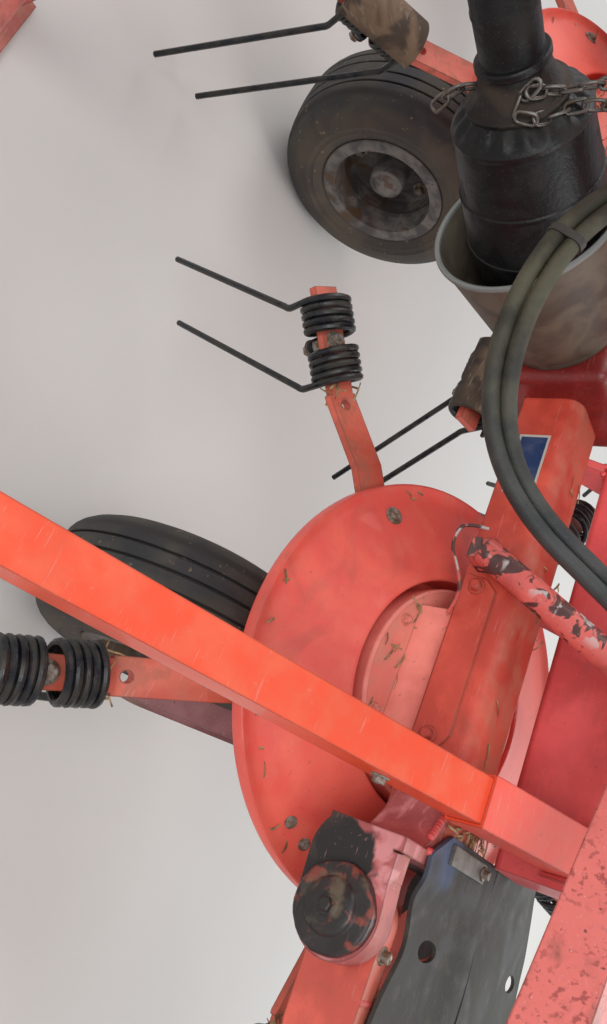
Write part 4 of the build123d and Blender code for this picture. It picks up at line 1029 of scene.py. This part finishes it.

# The fold hinges. Cast brackets in pinkish red, rough from the mould, with a bolt in the knuckle
# between them and pins thick with black grease.
def greasy_pin(paint, mottle):
    """Black grease that is smeared over the casting round the fold pin's front end."""
    across = paint.maths("ABSOLUTE", paint.along((1, 0, 0))) - 0.714
    above = paint.along(UP) - 0.626
    reach = across * across + above * above - 0.0056 * paint.cloud(24, 5, warp=0.2)
    paint.layer(paint.spots(0.52, 0.64, 24, 8, warp=1.0) * 0.6, (0.80, 0.36, 0.36))
    paint.layer(paint.step(reach, 0.0006, 0.0001), (0.012, 0.011, 0.011))


cast_red = enamel(
    "cast_red", (0.60, 0.145, 0.145), (0.36, 0.080, 0.078), dust=0.3, worn=0.8, rust=0.4,
    grime=0.6, gloss=0.45, finish_on=greasy_pin,
)
dress(cast_red, "hinge_brackets")
grease_finish = two_tone(
    "grease", (0.40, 0.62, 36, 6, (1, 1, 1), 1.0), ((0.009, 0.008, 0.008), (0.040, 0.022, 0.018)),
    (0.30, 0.35), (90, 6), 0.0025, 0.002, coat=0.4,
)
dress(grease_finish, "fold_pins")
BOSS_FACES = ((-120, -1), (160, 1))
BOSS = (
    (0, -2), (40.4, -2), (41.2, 0), (40.8, 8.5), (39, 10.6), (33, 11.6), (26.4, 12.2), (24.8, 15.8),
    (23, 17), (11, 17.4), (0, 17.4),
)


def greasy_boss(paint, mottle):
    """Rust-red and dry earth where the grease has come off."""
    paint.layer(paint.spots(0.54, 0.66, 58, 9, warp=0.3) * 0.62, (0.34, 0.062, 0.038))
    paint.layer(paint.spots(0.54, 0.70, 42, 9, warp=0.3) * 0.5, (0.19, 0.145, 0.085))


grease_rust = enamel(
    "boss_grease", (0.026, 0.021, 0.020), (0.010, 0.009, 0.009), dust=0.05, worn=0.1, rust=0.1,
    grime=0.2, gloss=0.34, finish_on=greasy_boss,
)
lumps = bpy.data.textures.new("lumps", "CLOUDS")
lumps.noise_scale = 0.016
for side_name, side in SIDES.items():
    blobs = []
    for y, way in BOSS_FACES:
        seat, toward = at(side * 740, y, 655), Vector((0, way, 0))
        blob = turned("boss", BOSS, seat, toward, 40)
        shaped(blob, "DISPLACE", texture=lumps, strength=0.004, mid_level=0.5)
        bolt = copied("boss_bolt", hex_bolt(11), [standing(seat + toward * 0.0170, toward, 0.2)])
        blobs += [blob, bolt]
    fit(joined(f"grease_rings_{side_name}", blobs), "frame", grease_rust, "rubber")
for side_name, side in SIDES.items():
    knuckle = [standing(at(side * 762, -71, 690.5), UP, 0.3)]
    bolted(f"knuckle_bolts_{side_name}", 10, knuckle, f"wing_{side_name}")


# The rubber flaps over the hinges. On each side one cut sheet lies on the drive beam's end, and a
# second lies over the rear ear; both are dusty, with punched holes.
def flap_rubber():
    rubber = Finish("flap_rubber")
    swirl = rubber.spots(0.36, 0.66, 9, 8, warp=2.2)
    rubber.ground(swirl, (0.026, 0.026, 0.022), (0.058, 0.058, 0.048))
    inward = rubber.step(rubber.along((1, 0, 0)), 0.715, 0.675)
    ahead = rubber.step(rubber.along((0, 1, 0)), 0.118, 0.098)
    blue = rubber.spots(0.36, 0.50, 7, 3) * inward * ahead
    rubber.layer(blue * 0.85, (0.075, 0.118, 0.200))
    rubber.layer(rubber.spots(0.50, 0.70, 48, 6) * 0.25, (0.14, 0.130, 0.105))
    round_normal = rubber.rounded(0.0012)
    edge = rubber.step(rubber.edges(round_normal), 0.04, 0.14)
    rubber.layer(edge * 0.5, (0.055, 0.052, 0.048))
    height = swirl * 0.5 + rubber.cloud(260, 4)
    return rubber.apply(0.66 + 0.2 * swirl, height, 0.0006, round_normal)


FLAP_THICK = 0.0045


def flap(name, side, x, y, hole, lift):
    """A sheet of rubber over a rectangle, with a slot punched through it and its edges bent."""
    sheet = added(bpy.ops.mesh.primitive_grid_add, x_subdivisions=48, y_subdivisions=48, size=1)
    for vertex in sheet.data.vertices:
        across, along = vertex.co.x + 0.5, vertex.co.y + 0.5
        px, py, pz = lift(x[0] + across * (x[1] - x[0]), y[0] + along * (y[1] - y[0]))
        vertex.co = at(side * px, py, pz)
    if side < 0:
        edit((bpy.ops.mesh.flip_normals, {}))
    shaped(sheet, "SOLIDIFY", thickness=FLAP_THICK, offset=-1)
    hole_x, hole_y, half_x, half_y = hole
    punch = added(
        bpy.ops.mesh.primitive_cylinder_add,
        (half_x, half_y, 1),
        vertices=28, radius=0.001, depth=0.06, location=at(side * hole_x, hole_y, 700),
    )
    shaped(sheet, "BOOLEAN", operation="DIFFERENCE", object=punch)
    bpy.data.objects.remove(punch)
    soften()
    sheet.name = name
    return sheet


def smooth(value, low, high):
    share = min(1, max(0, (value - low) / (high - low)))
    return share * share * (3 - 2 * share)


def front_shape(px, py):
    """The front sheet: its corner cut off, wavy in front, and a little lower over the wing."""
    corner = max(-66, -25 - 1.6 * (px - 636))
    if py < 30:
        py = 30 - (30 - py) * (30 - corner) / 96
    front = smooth(py, 20, -66)
    py += front * (16 * math.exp(-(((px - 745) / 34) ** 2)) - 6 * smooth(px, 780, 868))
    lower = smooth(px, 679, 709) * (1 - smooth(py, 66, 118))
    pz = 705.2 - 8.0 * lower + 1.3 * math.sin(px / 21) * math.sin(py / 33) * smooth(px, 690, 760)
    pz += 2.4 * front * smooth(px, 640, 700)
    return px, py, pz


def rear_shape(px, py):
    """The rear sheet: lies over the rear ear, droops behind it, and is cut at a slant."""
    py = 128.8 + (py - 128.8) * (180 + 46 * smooth(px, 626, 720)) / 226
    pz = 705.4 + 1.2 * math.sin(px / 26 + py / 41) - 9 * smooth(py, 235, 355)
    return px, py, pz


FRONT_FLAP = (636, 868), (-66, 127.5), (745, 14, 10.5, 27)
REAR_FLAP = (626, 862), (128.8, 355), (746, 306, 10.5, 27)
flap_finish = flap_rubber()
for side_name, side in SIDES.items():
    front_flap = flap(f"front_flap_{side_name}", side, *FRONT_FLAP, front_shape)
    front_flap.data.materials.clear()
    front_flap.data.materials.append(flap_finish)
    at(side * 679, 30, 700)
    at(side * 709, 30, 700)
    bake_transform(front_flap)
    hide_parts(f"joint_cover_{side_name}")
    rear_flap = flap(f"rear_flap_{side_name}", side, *REAR_FLAP, rear_shape)
    fit(rear_flap, "frame", flap_finish, "rubber", "joint_flaps")

# The strips that clamp the flaps to the drive beam. Galvanised flat bar with a bolt at its end.
galvanised = Finish("galvanised", metallic=0.25)
spangle = galvanised.step(galvanised.cloud(70, 6), 0.35, 0.65)
galvanised.ground(spangle, (0.105, 0.105, 0.084), (0.185, 0.186, 0.160))
round_normal = galvanised.rounded(0.0012)
strip_finish = galvanised.apply(0.5, galvanised.cloud(260, 4), 0.0004, round_normal)
dress(strip_finish, "cover_clamps")
strip_bolts = [standing(at(side * 652, 74, 709), UP, side) for side in SIDES.values()]
bolted("strip_bolts", 9, strip_bolts, "frame")

# The fold cylinders. Black barrels with a screwed gland and two ports, and chromed rods.
black_finish = two_tone(
    "cylinder_black", (0.62, 0.70, 45, 6), ((0.016, 0.016, 0.017), (0.14, 0.11, 0.085)),
    (0.35, 0.4), (200, 5), 0.0005, 0.002, coat=0.3,
)
chrome_finish = two_tone(
    "rod_chrome", (0.45, 0.7, 60, 5), ((0.62, 0.62, 0.64), (0.30, 0.28, 0.24)), (0.16, 0.25),
    (500,), 0.0001, 0.001, metallic=1.0,
)
GLAND = ((15.5, 0), (33, 0), (34, 1), (34, 16), (33, 17), (31, 18), (31, 24), (15.5, 24))
PORT = ((0, 0), (9, 0), (9, 14), (7.5, 14.5), (7.5, 22), (6.5, 23), (0, 23))
for side_name, side in SIDES.items():
    dress(black_finish, f"cylinder_barrel_{side_name}")
    dress(chrome_finish, f"cylinder_rod_{side_name}")
    base, lug = at(side * 120, 240, 800), at(side * 840, 240, 855)
    stroke = (lug - base).normalized()
    fittings = [turned("gland", GLAND, base + stroke * 0.343, stroke, 36)]
    for along in (0.045, 0.325):
        seat = base + stroke * along + Vector((0, 0, 0.028))
        fittings.append(turned("port", PORT, seat, UP, 18))
    gland = joined(f"cylinder_gland_{side_name}", fittings)
    fit(gland, f"barrel_{side_name}", black_finish, "cylinder_paint")

# The tongue's front end. The swivel headstock, the mast for the top link and the parking stand
# are in the same old red, with zinc pins and pull rings.
head_red = enamel(
    "headstock_red", (0.62, 0.120, 0.095), (0.42, 0.070, 0.055), worn=0.7, grime=0.5
)
stand_red = enamel(
    "stand_red", (0.56, 0.110, 0.090), (0.36, 0.060, 0.050), worn=0.8, rust=0.6, grime=0.6
)
dress(head_red, "headstock", "top_link_mast")
dress(stand_red, "parking_stand")
PIN = ((0, 0), (12.4, 0), (12.4, 108), (11, 110), (0, 110))
PIN_HEAD = ((12.4, -6), (19, -6), (20, -5), (20, -1), (19, 0), (12.4, 0))
STAND_PIN = ((0, 0), (7, 0), (7, 92), (5.5, 94), (0, 94))
pins = [
    turned("pin", PIN, at(-55, -880, 1130), (1, 0, 0)),
    turned("pin_head", PIN_HEAD, at(-50, -880, 1130), (1, 0, 0)),
]
for x in (-478, 478):
    ring = added(
        bpy.ops.mesh.primitive_torus_add,
        major_radius=0.019, minor_radius=0.0024, major_segments=28, minor_segments=8,
        location=at(x, -900, 503), rotation=(math.radians(80), 0, math.radians(90)),
    )
    bpy.ops.object.shade_smooth()
    pins.append(ring)
fit(joined("link_pins", pins), "headstock", fitting_finish, "bare_steel")
stand_pin = turned("stand_pin", STAND_PIN, at(-34, -640, 905), (-1, 0, 0), 18)
fit(stand_pin, "frame", fitting_finish, "bare_steel")


# Weld beads. Overlapping ripples where plates, arms and brackets are joined to the beams, painted
# over with the rest.
def bead_places(runs, spacing=4.2):
    places = []
    for start, end in runs:
        start, end = at(*start), at(*end)
        run = end - start
        for index in range(int(run.length * 1000 / spacing)):
            point = start + run * (index + 0.5) * spacing / 1000 / run.length
            point += Vector([draw.uniform(-0.4, 0.4) for _ in range(3)]) / 1000
            places.append(standing(point, run, draw.random()))
    return places


def bead():
    made = added(
        bpy.ops.mesh.primitive_ico_sphere_add, (0.0046, 0.0046, 0.0036), subdivisions=1, radius=1
    )
    bpy.ops.object.shade_smooth()
    return made


frame_runs = []
turn_angle = math.radians(29)
run_way = Vector((math.cos(turn_angle), -math.sin(turn_angle)))
for side in SIDES.values():
    for x in (110, 330):
        for edge in (-6, 6):
            frame_runs.append(((side * x + edge, 70, 627), (side * x + edge, 70, 678)))
            frame_runs.append(((side * x + edge, 92, 709), (side * x + edge, 166, 709)))
    for offset in (-26, 26):
        x = 199 + 26 * run_way.x + offset * -run_way.y
        y = 140 + 26 * run_way.y + offset * run_way.x
        frame_runs.append(((side * x, y, 850.5), (side * (x + 52), y - 29, 850.5)))
    frame_runs.append(((side * 660.5, -28, 700), (side * 660.5, -68, 700)))
    frame_runs.append(((side * 606, -31, 696), (side * 606, -31, 634)))
    frame_runs.append(((side * 606, -33, 696), (side * 650, -60, 696)))
for side in SIDES.values():
    frame_runs.append(((side * 50, 90, 852), (side * 50, -30, 851)))
frame_runs.append(((-48, 189, 851), (48, 189, 851)))
fit(copied("frame_welds", bead(), bead_places(frame_runs)), "frame", main_red, "faded_red")
for side_name, side in SIDES.items():
    runs = [
        ((side * x, start, z), (side * x, end, z))
        for x, start, end, z in (
            (804, -84, -34, 688), (840, -84, -31, 688), (802, 74, 100, 688), (1545, -30, 68, 692),
        )
    ]
    welds = copied(f"wing_welds_{side_name}", bead(), bead_places(runs))
    fit(welds, f"wing_{side_name}", main_red, "faded_red")


# Dry hay. Short broken blades that lie on the drums, beside the flaps and round the tine clamps,
# straw yellow and brown.
def hay_blade():
    made = added(bpy.ops.mesh.primitive_grid_add, x_subdivisions=5, y_subdivisions=1, size=1)
    for vertex in made.data.vertices:
        share = vertex.co.x
        width = vertex.co.y * (0.0021 - 0.0012 * share)
        vertex.co = Vector((share * 0.034, width, 0.0016 * math.cos(3.6 * share)))
    shaped(made, "SOLIDIFY", thickness=0.0004)
    return made


def scattered(count, corner, far, lift=1.5, matrix=None, long=1.0):
    """Places of blades that lie on a level rectangle given by two corners in millimetres."""
    places = []
    for _ in range(count):
        spot = Vector([draw.uniform(a, b) for a, b in zip(corner, far)])
        spot = at(*spot) if matrix is None else matrix @ (spot / 1000)
        tilt = Matrix.Rotation(draw.uniform(-0.25, 0.25), 4, "Y")
        tilt = tilt @ Matrix.Rotation(draw.uniform(-0.2, 0.2), 4, "X")
        lean = Matrix.Identity(4) if matrix is None else matrix.to_quaternion().to_matrix().to_4x4()
        size = Matrix.Diagonal((draw.uniform(0.4, 1.3) * long, draw.uniform(0.7, 1.3), 1, 1))
        turn = Matrix.Rotation(draw.uniform(0, math.tau), 4, "Z")
        lying = Matrix.Translation(spot + Vector((0, 0, lift / 1000)))
        places.append(lying @ lean @ turn @ tilt @ size)
    return places


def round_spot(last_angle, inner, outer, height):
    """A drawn spot on a ring round a rotor's middle."""
    angle, radius = draw.uniform(-math.pi, last_angle), draw.uniform(inner, outer)
    return Vector((radius * math.cos(angle), radius * math.sin(angle), height))


hay = hay_blade()
straw = Finish("dry_hay")
straw.ground(straw.spots(0.35, 0.65, 70, 3), (0.15, 0.095, 0.045), (0.46, 0.35, 0.17))
hay_material = straw.apply(0.8, straw.cloud(900), 0.0002)
frame_hay = []
for side in SIDES.values():
    drum = rotor_frame(side * 477)
    for _ in range(46):
        spot = round_spot(0.2, 80, 130, 48)
        frame_hay += scattered(1, spot, spot, matrix=drum, lift=draw.uniform(0.5, 3), long=0.7)
    for count, near, far, front, back, lift, long in (
        (60, 606, 642, -28, 80, 1.5, 0.6), (14, 150, 600, -10, 88, 1.0, 0.7),
    ):
        low, high = sorted((side * near, side * far))
        frame_hay += scattered(count, (low, front, 700), (high, back, 700), lift=lift, long=long)
fit(copied("frame_hay", hay, frame_hay, keep=True), "frame", hay_material, "hose_rubber")
for name, (x, phase) in ROTORS.items():
    rotor_hay = []
    for arm in arm_frames(x, phase):
        for _ in range(12):
            spot = Vector((draw.uniform(396, 412), draw.uniform(-24, 24), draw.uniform(-66, -46)))
            rotor_hay += scattered(1, spot, spot, matrix=arm, lift=0, long=0.9)
    for _ in range(26):
        spot = round_spot(math.pi, 246, 262, 1.5)
        rotor_hay += scattered(1, spot, spot, matrix=rotor_frame(x), lift=0.4, long=0.5)
    blades = copied(f"rotor_hay_{name}", hay, rotor_hay, keep=True)
    fit(blades, f"rotor_{name}", hay_material, "hose_rubber")
bpy.data.objects.remove(hay)
